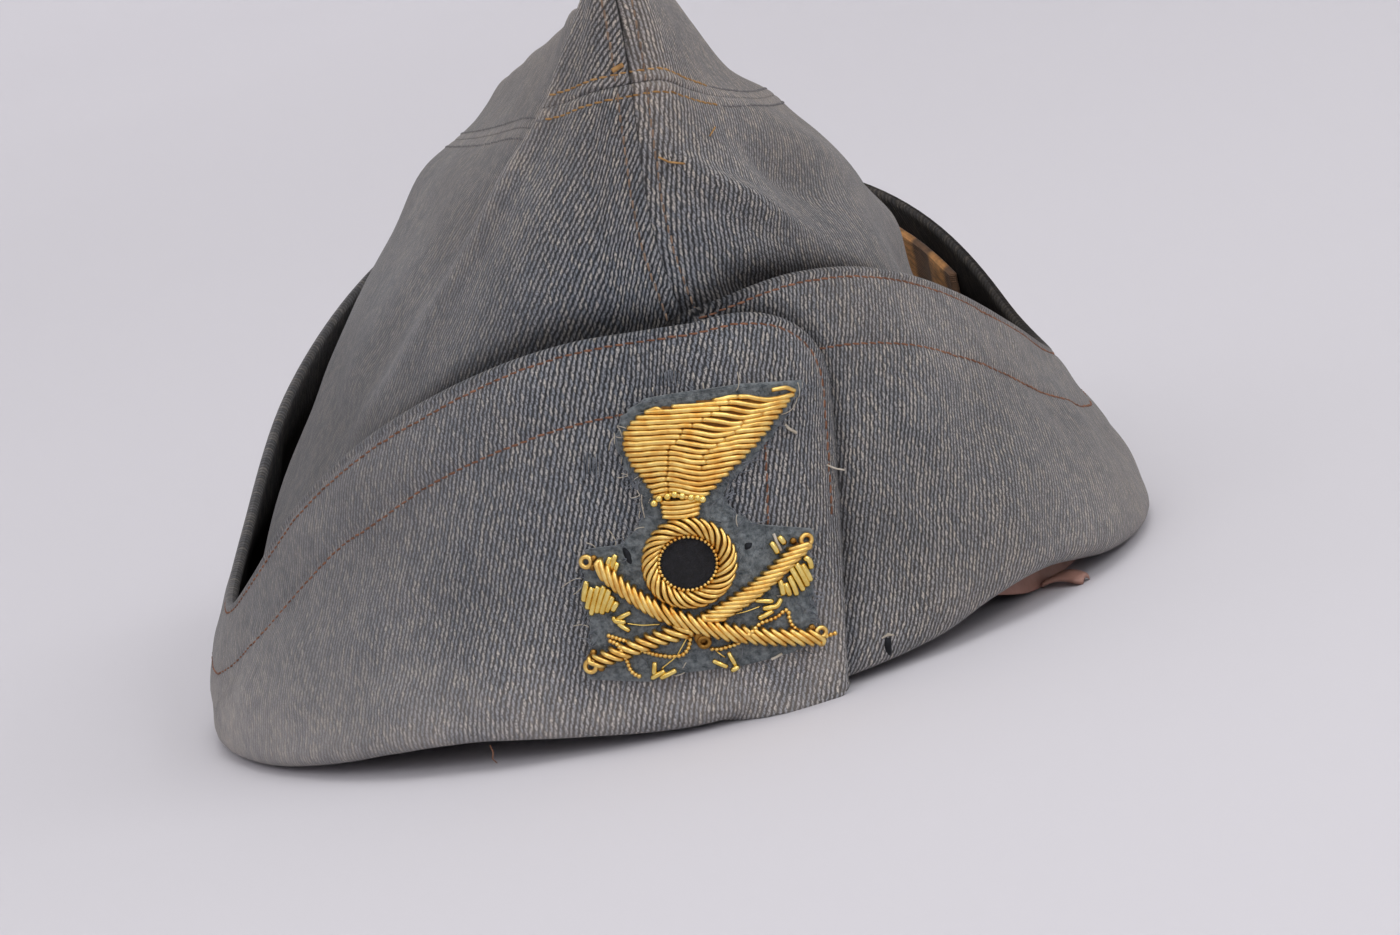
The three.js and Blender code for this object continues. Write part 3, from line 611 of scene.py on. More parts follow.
def twill_look():
    """Steep twill: flecked wales with dark valleys, made paler by each vertex's wear and painted light and
    darker by its painted shade.

    The UV map holds wales across and millimetres along them. Towards the sides and back the wales are
    flattened, and the cloth is made warmer as a painted sheen of the lit sides.
    """
    look = Look("grey_twill", Roughness=0.92, Sheen_Roughness=0.55)
    uv, place = look.uv(), look.place()
    x, y, z = look.parts(place)
    wales, run, _ = look.parts(uv)
    across = look.plus(wales, look.plus(look.stray(uv, 0.14, 3.0, 1.1), look.stray(uv, 0.8, 2.0, 0.75)))
    wale = look.math("FLOOR", look.plus(across, 0.5))
    ridge = look.math("MULTIPLY_ADD", look.math("COSINE", look.times(across, 2 * math.pi)), 0.5, 0.5)
    shift = look.add("TexWhiteNoise", {"W": wale}, "Value", noise_dimensions="1D")
    along = look.plus(look.math("DIVIDE", run, YARN), look.times(shift, 9.0))
    along = look.plus(along, look.times(look.minus(across, wale), 0.9))
    yarn = look.math("SINE", look.times(look.math("FRACT", along), math.pi))
    spot = look.add("CombineXYZ", {0: wale, 1: look.math("FLOOR", along)})
    fleck = look.add("TexWhiteNoise", {"Vector": spot}, "Value", noise_dimensions="2D")
    ramp = look.add("ValToRGB", {0: fleck})
    stops = ramp.node.color_ramp.elements
    shades = ((0.0, (148, 154, 163)), (0.4, (179, 181, 188)), (0.7, (197, 195, 196)), (1.0, (222, 216, 209)))
    for position, _ in shades[1:-1]:
        stops.new(position)
    for stop, (position, colour) in zip(stops, shades):
        stop.position = position
        stop.color = shade(*colour)

    fibre = look.range(look.noise(uv, 2.6, 4.0, 0.75), 0.34, 0.66, 0.15, 1.6)
    body = look.times(look.times(ridge, look.range(yarn, 0.0, 0.6, 0.36, 1.0)), fibre)
    # Towards the sides and back the wales are flattened and the cloth made warmer: a painted sheen of the
    # lit sides.
    flat_warm_sides = look.range(y, -0.102, -0.045, 0.0, 0.6)
    light = look.range(body, 0.12, 1.02)
    light = look.plus(light, look.times(flat_warm_sides, look.minus(0.36, light)))
    depths = look.range(look.noise(uv, 0.9, 3.0), 0.35, 0.65)
    cloth = look.blend(light, look.blend(depths, shade(13, 20, 26), shade(43, 50, 57)), ramp)

    # The wear attribute holds pale wear and painted light where positive, and painted shade where negative.
    wear_and_painted_light = look.add("Attribute", {}, "Fac", attribute_name="wear_and_painted_light")
    wear_and_light_share = look.times(wear_and_painted_light, look.range(look.noise(place, 90.0, 4.0, 0.6), 0.3, 0.7, 0.35, 1.0))
    cloth = look.blend(look.times(wear_and_light_share, 0.3), cloth, shade(164, 153, 140))
    cast = look.range(look.noise(place, 26.0, 3.0), 0.3, 0.7)
    # A random warm cast, and the painted sheen of the sides and back.
    warm = look.plus(look.times(cast, 0.16), look.times(flat_warm_sides, 0.4))
    cloth = look.blend(warm, cloth, shade(113, 104, 96))
    broad = look.range(look.noise(place, 45.0, 3.0), 0.25, 0.75, 0.86, 1.12)
    # Positive values also brighten the cloth by up to 55 per cent: wear and painted light.
    broad = look.times(broad, look.range(wear_and_painted_light, 0.0, 1.0, 1.0, 1.55))
    # Warmer on the wearer's left and on the upper crown: painted light of the lit sides.
    tints = {}
    for channel, (left, high) in enumerate(((1.0, 1.03), (0.96, 0.965), (0.91, 0.9))):
        leftward = look.range(x, 0.0, 0.03, 1.0, left)
        upward = look.range(z, 0.085, 0.12, 1.0, high)
        tints[channel] = look.times(broad, look.times(leftward, upward))
    cloth = look.blend(1.0, cloth, look.add("CombineColor", tints), "MULTIPLY")
    # Negative values are painted shade: the cloth is blended towards near black and loses its sheen and
    # specular.
    look.set("Base Color", look.blend(look.range(wear_and_painted_light, 0.0, -1.0), cloth, shade(26, 24, 23)))
    look.set("Sheen Weight", look.range(wear_and_painted_light, 0.0, -0.6, 0.22, 0.0))
    look.set("Specular IOR Level", look.range(wear_and_painted_light, 0.0, -0.6, 0.18, 0.0))
    look.bump(look.plus(body, look.times(look.noise(place, 2200.0, 2.0), 0.35)), 0.22, 0.75)
    return look.material


def tan_look():
    """Two bright bars across a darker ground, with threads along them."""
    look = Look("tan_cloth", Roughness=0.75, Sheen_Weight=0.2)
    uv = look.uv()
    u, v, _ = look.parts(uv)
    bars = look.math("COSINE", look.times(u, 4 * math.pi))
    thread = look.math("SINE", look.times(v, 2 * math.pi * 26))
    ground = look.blend(look.range(bars, -0.2, 0.3), shade(206, 146, 84), shade(118, 86, 60))
    flecks = look.range(look.noise(uv, 14.0, 5.0), 0.35, 0.7, 0.0, 0.7)
    look.set("Base Color", look.blend(flecks, ground, shade(74, 54, 38)))
    look.bump(look.plus(thread, look.noise(uv, 60.0)), 0.1, 0.6)
    return look.material


def mottled(name, dark, light, noise, spread, **sockets):
    """A look that wavers between two shades, its place and the noise that it follows."""
    look = Look(name, **sockets)
    place = look.place()
    tone = look.noise(place, *noise)
    look.set("Base Color", look.blend(look.range(tone, *spread), shade(*dark), shade(*light)))
    return look, place, tone


def leather_look(name, dark, light):
    look, place, _ = mottled(
        name, dark, light, (60.0, 5.0, 0.65), (0.3, 0.7), Roughness=0.5, Specular_IOR_Level=0.4)
    grain = look.add("TexVoronoi", {"Vector": place, "Scale": 900.0}, "Distance")
    look.bump(look.plus(grain, look.noise(place, 260.0, 4.0)), 0.12, 0.7)
    return look.material


def felt_look(name, dark, light):
    look, place, tone = mottled(
        name, dark, light, (900.0, 6.0, 0.7), (0.32, 0.68),
        Roughness=1.0, Specular_IOR_Level=0.1, Sheen_Weight=0.25, Sheen_Roughness=0.6)
    look.bump(look.plus(tone, look.noise(place, 3000.0, 3.0)), 0.25, 0.9)
    return look.material


def gold_look(name, dark, light, rough):
    look, place, _ = mottled(
        name, dark, light, (420.0, 4.0, 0.6), (0.3, 0.68), Metallic=1.0, Roughness=rough)
    look.bump(look.noise(place, 1600.0, 2.0), 0.06, 0.5)
    return look.material


def thread_look(name, dark, light):
    look, _, _ = mottled(
        name, dark, light, (500.0, 3.0), (0.3, 0.7), Roughness=0.75, Specular_IOR_Level=0.25)
    return look.material


CLOTHS = {
    "grey_twill": twill_look(),
    "brown_leather": leather_look("brown_leather", (142, 104, 92), (190, 148, 132)),
    "tan_cloth": tan_look(),
    "grey_felt": felt_look("grey_felt", (52, 60, 64), (130, 136, 138)),
    "black_felt": felt_look("black_felt", (14, 14, 17), (34, 34, 39)),
}
GOLD = gold_look("gold_bullion", (222, 168, 80), (252, 222, 140), 0.34)
BRIGHT_GOLD = gold_look("gold_bright", (224, 186, 90), (252, 230, 146), 0.27)
OLD_GOLD = gold_look("gold_old", (112, 78, 34), (176, 132, 66), 0.38)
PADDING = thread_look("gold_padding", (88, 56, 20), (132, 90, 36))
RUST = thread_look("rust_thread", (98, 66, 50), (150, 106, 82))
OCHRE = thread_look("ochre_thread", (132, 98, 58), (184, 144, 92))
FADED = thread_look("faded_thread", (98, 82, 72), (150, 126, 106))
DULL = thread_look("dull_thread", (98, 96, 97), (126, 123, 122))
PALE = thread_look("pale_fibre", (168, 158, 140), (206, 198, 184))
BLUE = thread_look("darning_thread", (72, 79, 86), (132, 136, 142))
# Near black: painted shade inside the slits in the felt and the hole in the flap.
HOLE_SHADE = thread_look("painted_hole_shade", (18, 20, 24), (38, 41, 46))


def twill_uv(u, v, lean):
    """Wales across and millimetres along them, for cloth at u, v whose wales lean by some degrees."""
    turn = math.radians(lean)
    across = (u * math.cos(turn) - v * math.sin(turn)) / WALE
    return np.stack([across, u * math.sin(turn) + v * math.cos(turn)], -1)


# The crown

def pick(points, run, at):
    """For each line of a grid (axis 0), the point where the running length reaches a distance."""
    found = []
    for line, distance in zip(points, run):
        if distance[-1] > at:
            found.append([np.interp(at, distance, column) for column in line.T])
    return np.array(found)


def crown_wear_and_painted_light(side, angle, level, z, run, from_seam):
    """Wear on the crown's top crease and seams; wear and a painted highlight on the wearer's right ridge;
    painted light towards the top of the wearer's left panels; painted shade (negative) low down by the
    flaps.
    """
    wear_and_painted_light = 0.55 * hill((level - 1.0) / 0.035) + 0.3 * hill((from_seam - 1.0) / 1.5)
    if side > 0:
        wear_and_painted_light = wear_and_painted_light + 0.35 * hill((run - 5) / 5) * ease((level - 0.55) / 0.4)
        # Painted light: lighter and paler towards the top of the wearer's left panels.
        wear_and_painted_light = wear_and_painted_light + 0.16 * ease((level - 0.55) / 0.35)
    else:
        # The ridge on the wearer's right: wear and a painted highlight.
        past = angle - RIDGE_ANGLE
        wear_and_painted_light = wear_and_painted_light + 0.45 * hill((level - RIDGE_LEVEL + RIDGE_TURN * past) / 0.035) * hill(past / 24)
    # Painted shade on the crown by the flap's top edge, where it lies in the gap behind the flap.
    hem = curve(LEFT_EDGE if side > 0 else RIGHT_EDGE, "angle", "z", np.abs(angle))
    wear_and_painted_light = wear_and_painted_light - 0.75 * hill(angle / 100) * (1 - ease((z - hem) / 6.5))
    # Painted shade low on the wearer's right side.
    wear_and_painted_light = wear_and_painted_light - 0.22 * ease((-angle - 40) / 30) * (1 - ease((level - 0.4) / 0.3))
    return np.clip(wear_and_painted_light, -1, 1)


def crown_panel(name, side, top):
    """A crown panel, and its lines of stitches: front, back, near part and rear part of the ring."""
    from_front = spaced(90, 0.1, 1.14, 1.2)
    from_back = 180 - spaced(90, 0.4, 1.25, 1.8)[::-1]
    angles = side * np.concatenate([from_front, from_back[1:]])
    angle, share = grid(angles, TOP_SHARES if top else SIDE_SHARES)
    seam = curve(SEAM, "angle", "level", angle)
    level = mix(seam, CREASE_LEVEL, share) if top else share * seam
    plain = crown_point(side, angle, level, 0)
    run, rise = lengths(plain, 0), lengths(plain, 1)
    back_run = run[-1:] - run
    from_seam = rise if top else rise[:, -1:] - rise

    out = 0.4 * waves(side * run, rise, 26, 3 + side) * ease(run / 25) * ease(from_seam / 12)
    wide, depth = (0.28, 1.2) if top else (0.3, 0.45)
    for distance in (run, back_run):
        out = out + groove(distance, 0, wide, depth) + groove(distance, FRONT_LINE, 0.5, 0.22)
        out = out + 0.18 * hill(distance - FRONT_LINE / 2)
    firm = 1 - 0.8 * ease((np.abs(angle) - 10) / 22)
    ring_seam = groove(from_seam, 0, 0.3, 0.45) + groove(from_seam, RING_LINE, 0.5, 0.2)
    out = out + firm * (ring_seam + 0.18 * hill((from_seam - RING_LINE / 2) / 0.8))
    outer = crown_point(side, angle, level, out)
    inner = crown_point(side, angle, level, -CROWN_CLOTH)

    uv = twill_uv(side * run, rise, LEAN[name])
    wear_and_painted_light = crown_wear_and_painted_light(side, angle, level, plain[..., 2], run, from_seam)
    piece = add_shell("cloth_" + name, name, "grey_twill", outer, inner, uv, wear_and_painted_light, flip=side < 0)
    up_rows = outer.transpose(1, 0, 2)
    front = pick(up_rows, run.T, FRONT_LINE)
    back = pick(up_rows[:, ::-1], back_run.T[:, ::-1], FRONT_LINE)
    way = 1 if top else -1
    ring = pick(outer[:, ::way], from_seam[:, ::way], RING_LINE)
    turn = np.searchsorted(np.abs(angles), RING_THREAD_TURN)
    return piece, front, back, ring[:turn], ring[turn - 1:]


crown_lines = []
for side, hand in ((-1, "right"), (1, "left")):
    crown_lines.append(crown_panel("crown_side_" + hand, side, False))
    crown_lines.append(crown_panel("crown_top_" + hand, side, True))


# The flaps

def flap_column(angle_at, top, lift, free, offset):
    """The middle of a flap's cloth from its foot to its top edge. free is 1 where it has no foot."""
    step = np.linspace(0, 4, 17)
    low = WALL_START * step / 4
    foot = mix(foot_point(angle_at(np.zeros(1)), step), wall_point(angle_at(low), low), free)
    z = np.concatenate([np.linspace(WALL_START, top - EDGE_ROWS[0], 34)[1:-1], top - EDGE_ROWS])
    points = np.concatenate([foot, wall_point(angle_at(z), z)])
    hold = np.concatenate([np.minimum(1, step / 3), np.ones(len(z))])
    points = points + offset(points) * mix(hold, 1, free)[:, None]
    points[:, 2] += lift * (1 - ease(points[:, 2] / LIFT_FADE))
    return points


def flare(angle, z, out):
    """How far the rear half of a flap stands away from the crown."""
    turned = hill((np.abs(angle) - FLARE_ANGLE) / FLARE_WIDE)
    return out * turned * between(z, FLARE_FROM, FLARE_TO)


def right_column(angle):
    top = curve(RIGHT_EDGE, "angle", "z", abs(angle))
    free = ease(1 + (angle + 1) / 12)

    def offset(points):
        return stack(-flare(angle, points[:, 2], RIGHT_FLARE), 0, 0)

    return flap_column(lambda z: angle + 0 * z, top, right_lift(angle), free, offset)


def tab_column(share):
    """A column of the right flap's tab, whose upper and lower corners are round."""
    full = RIGHT_EDGE["z"][0]
    edge = TAB_REACH + TAB_SLANT * (full - TAB_CORNER)
    near = max(0, share * edge - (edge - TAB_CORNER)) / TAB_CORNER
    top = full - TAB_CORNER * (1 - math.sqrt(1 - near * near))
    low = max(0, share * TAB_REACH - TAB_REACH + TAB_FOOT) / TAB_FOOT
    lift = TAB_FOOT * (1 - math.sqrt(1 - low * low))

    def angle_at(z):
        return front_angle(share * (TAB_REACH + TAB_SLANT * z), z)

    return flap_column(angle_at, top, lift, 1, np.zeros_like)


def left_column(angle):
    top = curve(LEFT_EDGE, "angle", "z", max(0, angle)) - TUCK_DROP * ease(-angle / 9)
    inset = TUCK_INSET * (1 - between(angle, TUCK_FROM, TUCK_TO))

    def offset(points):
        return stack(flare(angle, points[:, 2], LEFT_FLARE), inset, 0)

    return flap_column(lambda z: angle + 0 * z, top, left_lift(angle), ease((3 - angle) / 3), offset)


def edge_distance(points, border):
    """Distance of each grid point from the nearest point of a border line."""
    flat = points.reshape(-1, 3)
    nearest = np.full(len(flat), 1e9)
    for start in range(0, len(border), 60):
        part = border[start:start + 60]
        nearest = np.minimum(nearest, np.linalg.norm(flat[:, None] - part[None], axis=-1).min(1))
    return nearest.reshape(points.shape[:2])


def flap_wear_and_painted_light(side, middle, angle, distance, over):
    """Wear and painted bounce light low on a flap, painted light on parts of it, and painted shade
    (negative) along its edge and as the shadow of the tab that lies over it.
    """
    z = middle[..., 2]
    rear = ease((middle[..., 1] + 30) / 40) * (side > 0)
    # Low on the flap, most on the right flap: pale wear and painted bounce light.
    wear_and_painted_light = (0.7 - 0.3 * side) * hill((z - 2) / 17)
    # Painted shade along the top edge, wider and darker towards the back of the left flap, where the edge
    # lies in the gap's shadow.
    wear_and_painted_light = wear_and_painted_light - (0.4 + 0.45 * rear) * hill(distance / (1.1 + 0.9 * rear))
    # Painted light: the right flap a little lighter all over.
    if side < 0:
        return wear_and_painted_light + 0.1
    # Painted light on the upper part of the left flap beside the tab.
    wear_and_painted_light = wear_and_painted_light + 0.3 * hill((angle - 34) / 18) * ease((z - 30) / 35)
    # Painted shadow of the tab on the left flap beside its border.
    return wear_and_painted_light - 1.5 * hill(edge_distance(middle, over) / 3.2)


def flap(name, middle, side, border, over=None):
    """A flap of even cloth around its middle, rounded along its border."""
    normal = grid_normals(middle)
    run = lengths(middle, 0)
    start = np.argmin(np.abs(middle[:, -1, 0]) + 1000 * (middle[:, -1, 1] > 0))
    u, v = run - run[start:start + 1], lengths(middle, 1)
    angle = np.degrees(np.arctan2(middle[..., 0], -middle[..., 1]))
    distance = edge_distance(middle, border)
    near_badge = hill(np.linalg.norm(middle[..., [0, 2]] - (BADGE_X, BADGE_Z + 4), axis=-1) / 30)
    near_badge = np.where(middle[..., 1] < -60, near_badge, 0)
    calm = ease(middle[..., 2] / 14) * (1 - np.clip(1.6 * near_badge, 0, 1)) * ease(distance / 7)
    out = (0.55 * waves(u, v, 34, 21 + side) + 0.3 * waves(u, v, 15, 31 + side)) * calm
    if side > 0:
        # Small upright puckers between the two seam lines beside the tab
        where = hill((angle - 40) / 16) * hill((distance - 8.5) / 4.5)
        out = out + 0.42 * np.sin(2 * math.pi * (u + 0.12 * distance) / 6.3) * where
    half = FLAP_CLOTH / 2 * rounded(distance, FLAP_CLOTH / 2)
    seams = groove(distance, EDGE_LINE, 0.6, 0.32) + groove(distance, SECOND_LINE, 0.8, 0.3)
    outer = middle + normal * (out + half + seams * (half > 1))[..., None]
    inner = middle + normal * (out - half)[..., None]
    for face in (outer, inner):
        face[..., 2] = np.maximum(0, face[..., 2])
        kept_apart = side * np.maximum(SEAM_GAP / 2, side * face[..., 0])
        face[..., 0] = np.where(face[..., 1] > 60, kept_apart, face[..., 0])
    wear_and_painted_light = flap_wear_and_painted_light(side, middle, angle, distance, over)
    # Painted shade on the inner faces: near black away from the edge, and darker near the edge on the left
    # flap.
    inside = -0.45 - 0.53 * ease(distance / 9) - 0.25 * (side > 0) * (1 - ease(distance / 8))
    uv = twill_uv(u, v, LEAN["flap"])
    return add_shell("cloth_" + name, name, "grey_twill", outer, inner, uv, wear_and_painted_light, inside)


back_angles = 180 - spaced(176, 0.9, 1.12, 1.9)
right_angles = -np.concatenate([back_angles, [3, 2, 1]])
right_middle = np.array([right_column(a) for a in right_angles] + [tab_column(s) for s in TAB_SHARES])
right_border = np.concatenate([right_middle[:, -1], right_middle[-1, ::-1]])
flap_right = flap("flap_right", right_middle, -1, right_border)

tuck_angles = np.linspace(-front_angle(TUCK_REACH, 40), -1, 10)
left_angles = np.concatenate([tuck_angles, [0, 1, 2, 3], back_angles[::-1]])
left_middle = np.array([left_column(a) for a in left_angles])
flap_left = flap("flap_left", left_middle, 1, left_middle[:, -1], right_border)


# Sewing

def tree_of(piece):
    points = [v.co for v in piece.data.vertices]
    return BVHTree.FromPolygons(points, [p.vertices for p in piece.data.polygons])


def outward_on(tree, points, outward):
    """The outer surface at each point, found from outside, with its normal, in millimetres."""
    found, normals = [], []
    for p, way in zip(to_metres(points), outward):
        hit = tree.ray_cast(Vector(p + way * 0.012), Vector(-way), 0.03)
        if hit[0] is not None:
            found.append(np.array(hit[0]) / MM - (0, CENTRE_Y, 0))
            normals.append(np.array(hit[1]))
    return np.array(found), np.array(normals)


def normals_over(normals, count):
    """Normals spread evenly over a line of count points."""
    return unit(resample(normals, np.linspace(0, 1, count), np.linspace(0, 1, len(normals))))


def stitches(strands, line, normals, draw):
    """Short arched stitches along a line of surface points."""
    fine = even(line, STITCH_STEP)
    up = normals_over(normals, len(fine))
    count = int(STITCH / STITCH_STEP)
    for start in range(0, len(fine) - count, int(STITCH_PITCH / STITCH_STEP)):
        part = slice(start, start + count + 1)
        path, way = fine[part], up[part]
        share = np.linspace(-1, 1, len(path))
        rise = 0.2 * (1 - share ** 4) - 0.2 + draw.uniform(0, 0.05)
        across = unit(np.cross(np.gradient(path, axis=0), way))
        skew = draw.normal(0, 0.05) + 0.12 * share
        path = path + way * rise[:, None] + across * skew[:, None]
        strands.tube(path[::2], STITCH_RADIUS * draw.uniform(0.85, 1.1), 6, facing=way[0])


def flap_seams(name, piece, border, normals):
    """Two rows of stitches along a flap's border."""
    tree, strands = tree_of(piece), Strands()
    draw = np.random.default_rng(5)
    inward = unit(np.cross(unit(np.gradient(border, axis=0)), normals))
    for distance in (EDGE_LINE, SECOND_LINE):
        line = even(smooth_line(border + inward * distance), 1.5)
        stitches(strands, *outward_on(tree, line, normals_over(normals, len(line))), draw)
    strands.make(name, RUST, "grey_twill")


def crown_seams():
    front_thread, ring_thread, rear_thread = Strands(), Strands(), Strands()
    draw = np.random.default_rng(9)
    for piece, front, back, ring, rear in crown_lines:
        tree = tree_of(piece)
        for strands, line in (
            (front_thread, front), (front_thread, back), (ring_thread, ring), (rear_thread, rear),
        ):
            line = even(line, 1.0)
            stitches(strands, *outward_on(tree, line, unit(line - CROWN_MIDDLE)), draw)
    front_thread.make("stitches_crown_front", FADED, "grey_twill")
    ring_thread.make("stitches_crown_ring", OCHRE, "grey_twill")
    rear_thread.make("stitches_crown_rear", DULL, "grey_twill")


# The right flap's seam lines turn down the tab's edge, and the left flap's start under the tab
TAB_SEAM_ROW, LEFT_SEAM_COLUMN = 44, 12
right_normals, left_normals = grid_normals(right_middle), grid_normals(left_middle)
flap_seams(
    "stitches_flap_right", flap_right,
    np.concatenate([right_middle[:, -1], right_middle[-1, TAB_SEAM_ROW:-1][::-1]]),
    np.concatenate([right_normals[:, -4], right_normals[-4, TAB_SEAM_ROW:-1][::-1]]),
)
flap_seams(
    "stitches_flap_left", flap_left,
    left_middle[LEFT_SEAM_COLUMN:, -1], left_normals[LEFT_SEAM_COLUMN:, -4],
)
crown_seams()


# Sweatband, its loose end and the patch

def add_band():
    heights = np.concatenate([BAND_LOW + np.array([0, 0.1, 0.3, 0.6, 1.0]), np.linspace(1.8, BAND_HIGH, 18)])
    angle, z = grid(np.linspace(-180, 180, 241)[:-1], heights)
    lift = rim_lift(angle) * (1 - between(angle, BAND_SHOW_FROM, BAND_SHOW_TO))
    sway = 0.25 * waves(angle, z * 2, 40, 71)
    thin = 0.35 * (1 - rounded(z - BAND_LOW, 0.8))
    z = z + lift * (BAND_HIGH - z) / (BAND_HIGH - BAND_LOW)

    def ring(inset):
        half = BAND_HALF - inset - BAND_LEAN * z / BAND_HIGH
        return stack(*oval(angle, half, BAND_FRONT + inset, BAND_BACK - inset, WALL_PINCH), z)

    inner = ring(LEATHER - thin + sway)
    add_shell("leather_sweatband", "sweatband", "brown_leather", ring(thin), inner, wrap=True)


def add_band_tab():
    x, y = oval(BAND_TAB_ANGLE, BAND_HALF, BAND_FRONT, BAND_BACK, WALL_PINCH)
    turn = math.radians(BAND_TAB_ANGLE)
    out = np.array([math.sin(turn), -math.cos(turn), 0])
    across = np.array([-out[1], out[0], 0])
    a, b = grid(np.linspace(0.6, BAND_TAB_LENGTH, 22), np.linspace(-0.5, 0.5, 13))
    share = a / BAND_TAB_LENGTH
    tip = np.sqrt(np.clip(1 - np.clip(share * 6 - 5, 0, 1) ** 2 * 0.6, 0, 1))
    wide = BAND_TAB_WIDTH * (1 - 0.18 * share) * tip
    rise = 1.2 * np.sin(math.pi * share) + 0.5 * share * np.cos(b * 5) + 0.4

    def leaf(up):
        p = np.array([x, y, 0]) + out * a[..., None] + across * (b * wide)[..., None]
        p[..., 2] = rise + up
        return p

    add_shell("leather_tab", "sweatband_tab", "brown_leather", leaf(BAND_TAB_THICK), leaf(0))


def add_patch():
    u, v = grid(np.linspace(0, 1, 40), np.linspace(0, 1, 44))
    angle, drop = mix(*PATCH_ANGLES, u), mix(*PATCH_DROPS, v)
    wall = wall_point(angle, curve(LEFT_EDGE, "angle", "z", angle) - drop)
    wall[..., 0] += flare(angle, wall[..., 2], LEFT_FLARE)
    edge = np.minimum(np.minimum(u, 1 - u) * 26, np.minimum(v, 1 - v) * 12)
    thick = 0.4 + 1.1 * rounded(edge, 0.8) - 0.35 * np.cos(4 * math.pi * u) * ease(edge / 2)
    inward = grid_normals(wall)
    outer = wall + inward * (FLAP_CLOTH / 2 + 0.3 + thick)[..., None]
    inner = wall + inward * (FLAP_CLOTH / 2 + 0.2)
    add_shell("cloth_side_patch", "side_patch", "tan_cloth", outer, inner, np.stack([u, v], -1))


add_band()
add_band_tab()
add_patch()


# The badge

BACKING = table(
    "up left right",
    [-22.8, -19.6, -7.0], [-21.0, -19.8, -1.0], [-19.5, -19.4, 11.0], [-17.5, -19.2, 19.0],
    [-15.5, -19.2, 24.6], [-12.0, -19.4, 23.6], [-7.0, -20.4, 22.8], [-2.0, -20.8, 22.4],
    [2.0, -20.4, 22.4], [3.2, -13.0, 23.4], [5.4, -10.5, 23.0], [6.8, -9.6, 12.0],
    [9.0, -8.8, 8.4], [12.0, -8.6, 6.0], [15.0, -10.4, 7.6], [18.0, -12.6, 10.6],
    [22.5, -14.4, 14.8], [27.0, -13.2, 18.4], [30.5, -8.4, 20.6], [31.8, 0.0, 21.2],
    [32.8, 9.0, 21.4],
)
# The flame's outline, and where its wires meet end to end
FLAME = table(
    "up left right",
    [11.9, -5.6, 2.3], [13.9, -7.0, 4.1], [16.6, -9.3, 7.0], [19.4, -11.3, 9.8],
    [22.2, -12.4, 12.4], [24.4, -12.0, 14.1], [26.4, -10.6, 15.8], [28.2, -7.6, 17.2],
    [29.4, -1.0, 18.2], [30.3, 6.0, 18.8], [31.0, 13.0, 19.2],
)
FLAME_BREAK = table(
    "up first second",
    [11.9, -3.6, 30], [17.4, -3.6, 30], [17.6, -3.6, 2.4], [20.5, -3.6, 2.6], [24.4, -0.8, 8.2],
    [26.4, 2.6, 9.2], [31.0, 9.5, 30],
)
# The crossed barrels
OVER = table(
    "along right up",
    [0.00, -17.5, -0.6], [0.25, -9.4, -6.6], [0.50, 0.6, -11.2], [0.75, 12.0, -13.8], [1.00, 24.0, -14.8],
)
UNDER = table(
    "along right up",
    [0.00, -18.6, -19.3], [0.28, -7.0, -14.8], [0.50, 1.8, -11.5], [0.75, 11.4, -5.4], [1.00, 20.8, 3.0],
)
# Short wires, each a line of points right and up
FLAME_TIPS = ((-7.4, 28.2, -5.6, 28.9, -4.4, 28.2), (14.6, 31.3, 17.2, 31.6, 19.0, 30.8))
FAN_LEFT = (
    (-19.6, -3.9, -20.2, -7.6), (-18.5, -5.0, -19.5, -9.0), (-17.3, -4.7, -18.7, -10.1),
    (-16.1, -4.6, -17.6, -9.7), (-15.0, -5.2, -16.6, -9.8), (-14.3, -6.5, -15.6, -9.4),
    (-13.4, -7.5, -14.4, -9.2), (-14.9, 0.8, -15.8, -1.7), (-13.8, 1.3, -14.9, -1.8),
    (-13.4, -0.2, -14.1, -2.0),
)
FAN_RIGHT = (
    (16.1, -3.6, 16.8, -6.4), (17.1, -4.3, 18.0, -6.6), (17.8, -3.0, 19.3, -6.6), (18.0, -1.3, 20.5, -5.8),
    (19.1, -0.7, 21.3, -5.0), (20.2, -1.0, 21.9, -4.1), (20.6, 0.3, 21.5, -0.2, 22.0, -1.8),
    (14.5, 3.4, 15.7, 1.4), (15.9, 4.4, 16.9, 3.1),
)
ARROW_HEADS = (
    (-14.3, -10.4, -13.9, -11.2, -11.8, -11.3), (-13.4, -10.7, -10.8, -9.4), (-13.3, -11.6, -11.0, -12.9),
    (11.8, -7.2, 14.9, -7.5), (16.4, -7.2, 15.6, -8.5, 13.2, -8.8), (12.4, -10.6, 14.9, -9.4),
    (-5.8, -18.8, -5.9, -21.0), (-6.4, -21.8, -4.0, -20.4), (-4.6, -21.7, -2.0, -20.2),
    (4.5, -18.4, 7.0, -19.6), (7.2, -16.9, 8.4, -19.2), (7.8, -20.3, 9.0, -19.6),
)
ARROW_STEMS = (
    (-11.7, -11.6, -8.5, -11.8, -4.8, -11.6), (6.9, -9.9, 10.0, -9.3, 12.8, -8.4),
    (-4.6, -20.1, -1.9, -17.6, 0.1, -13.6), (5.1, -16.7, 6.7, -17.9),
)
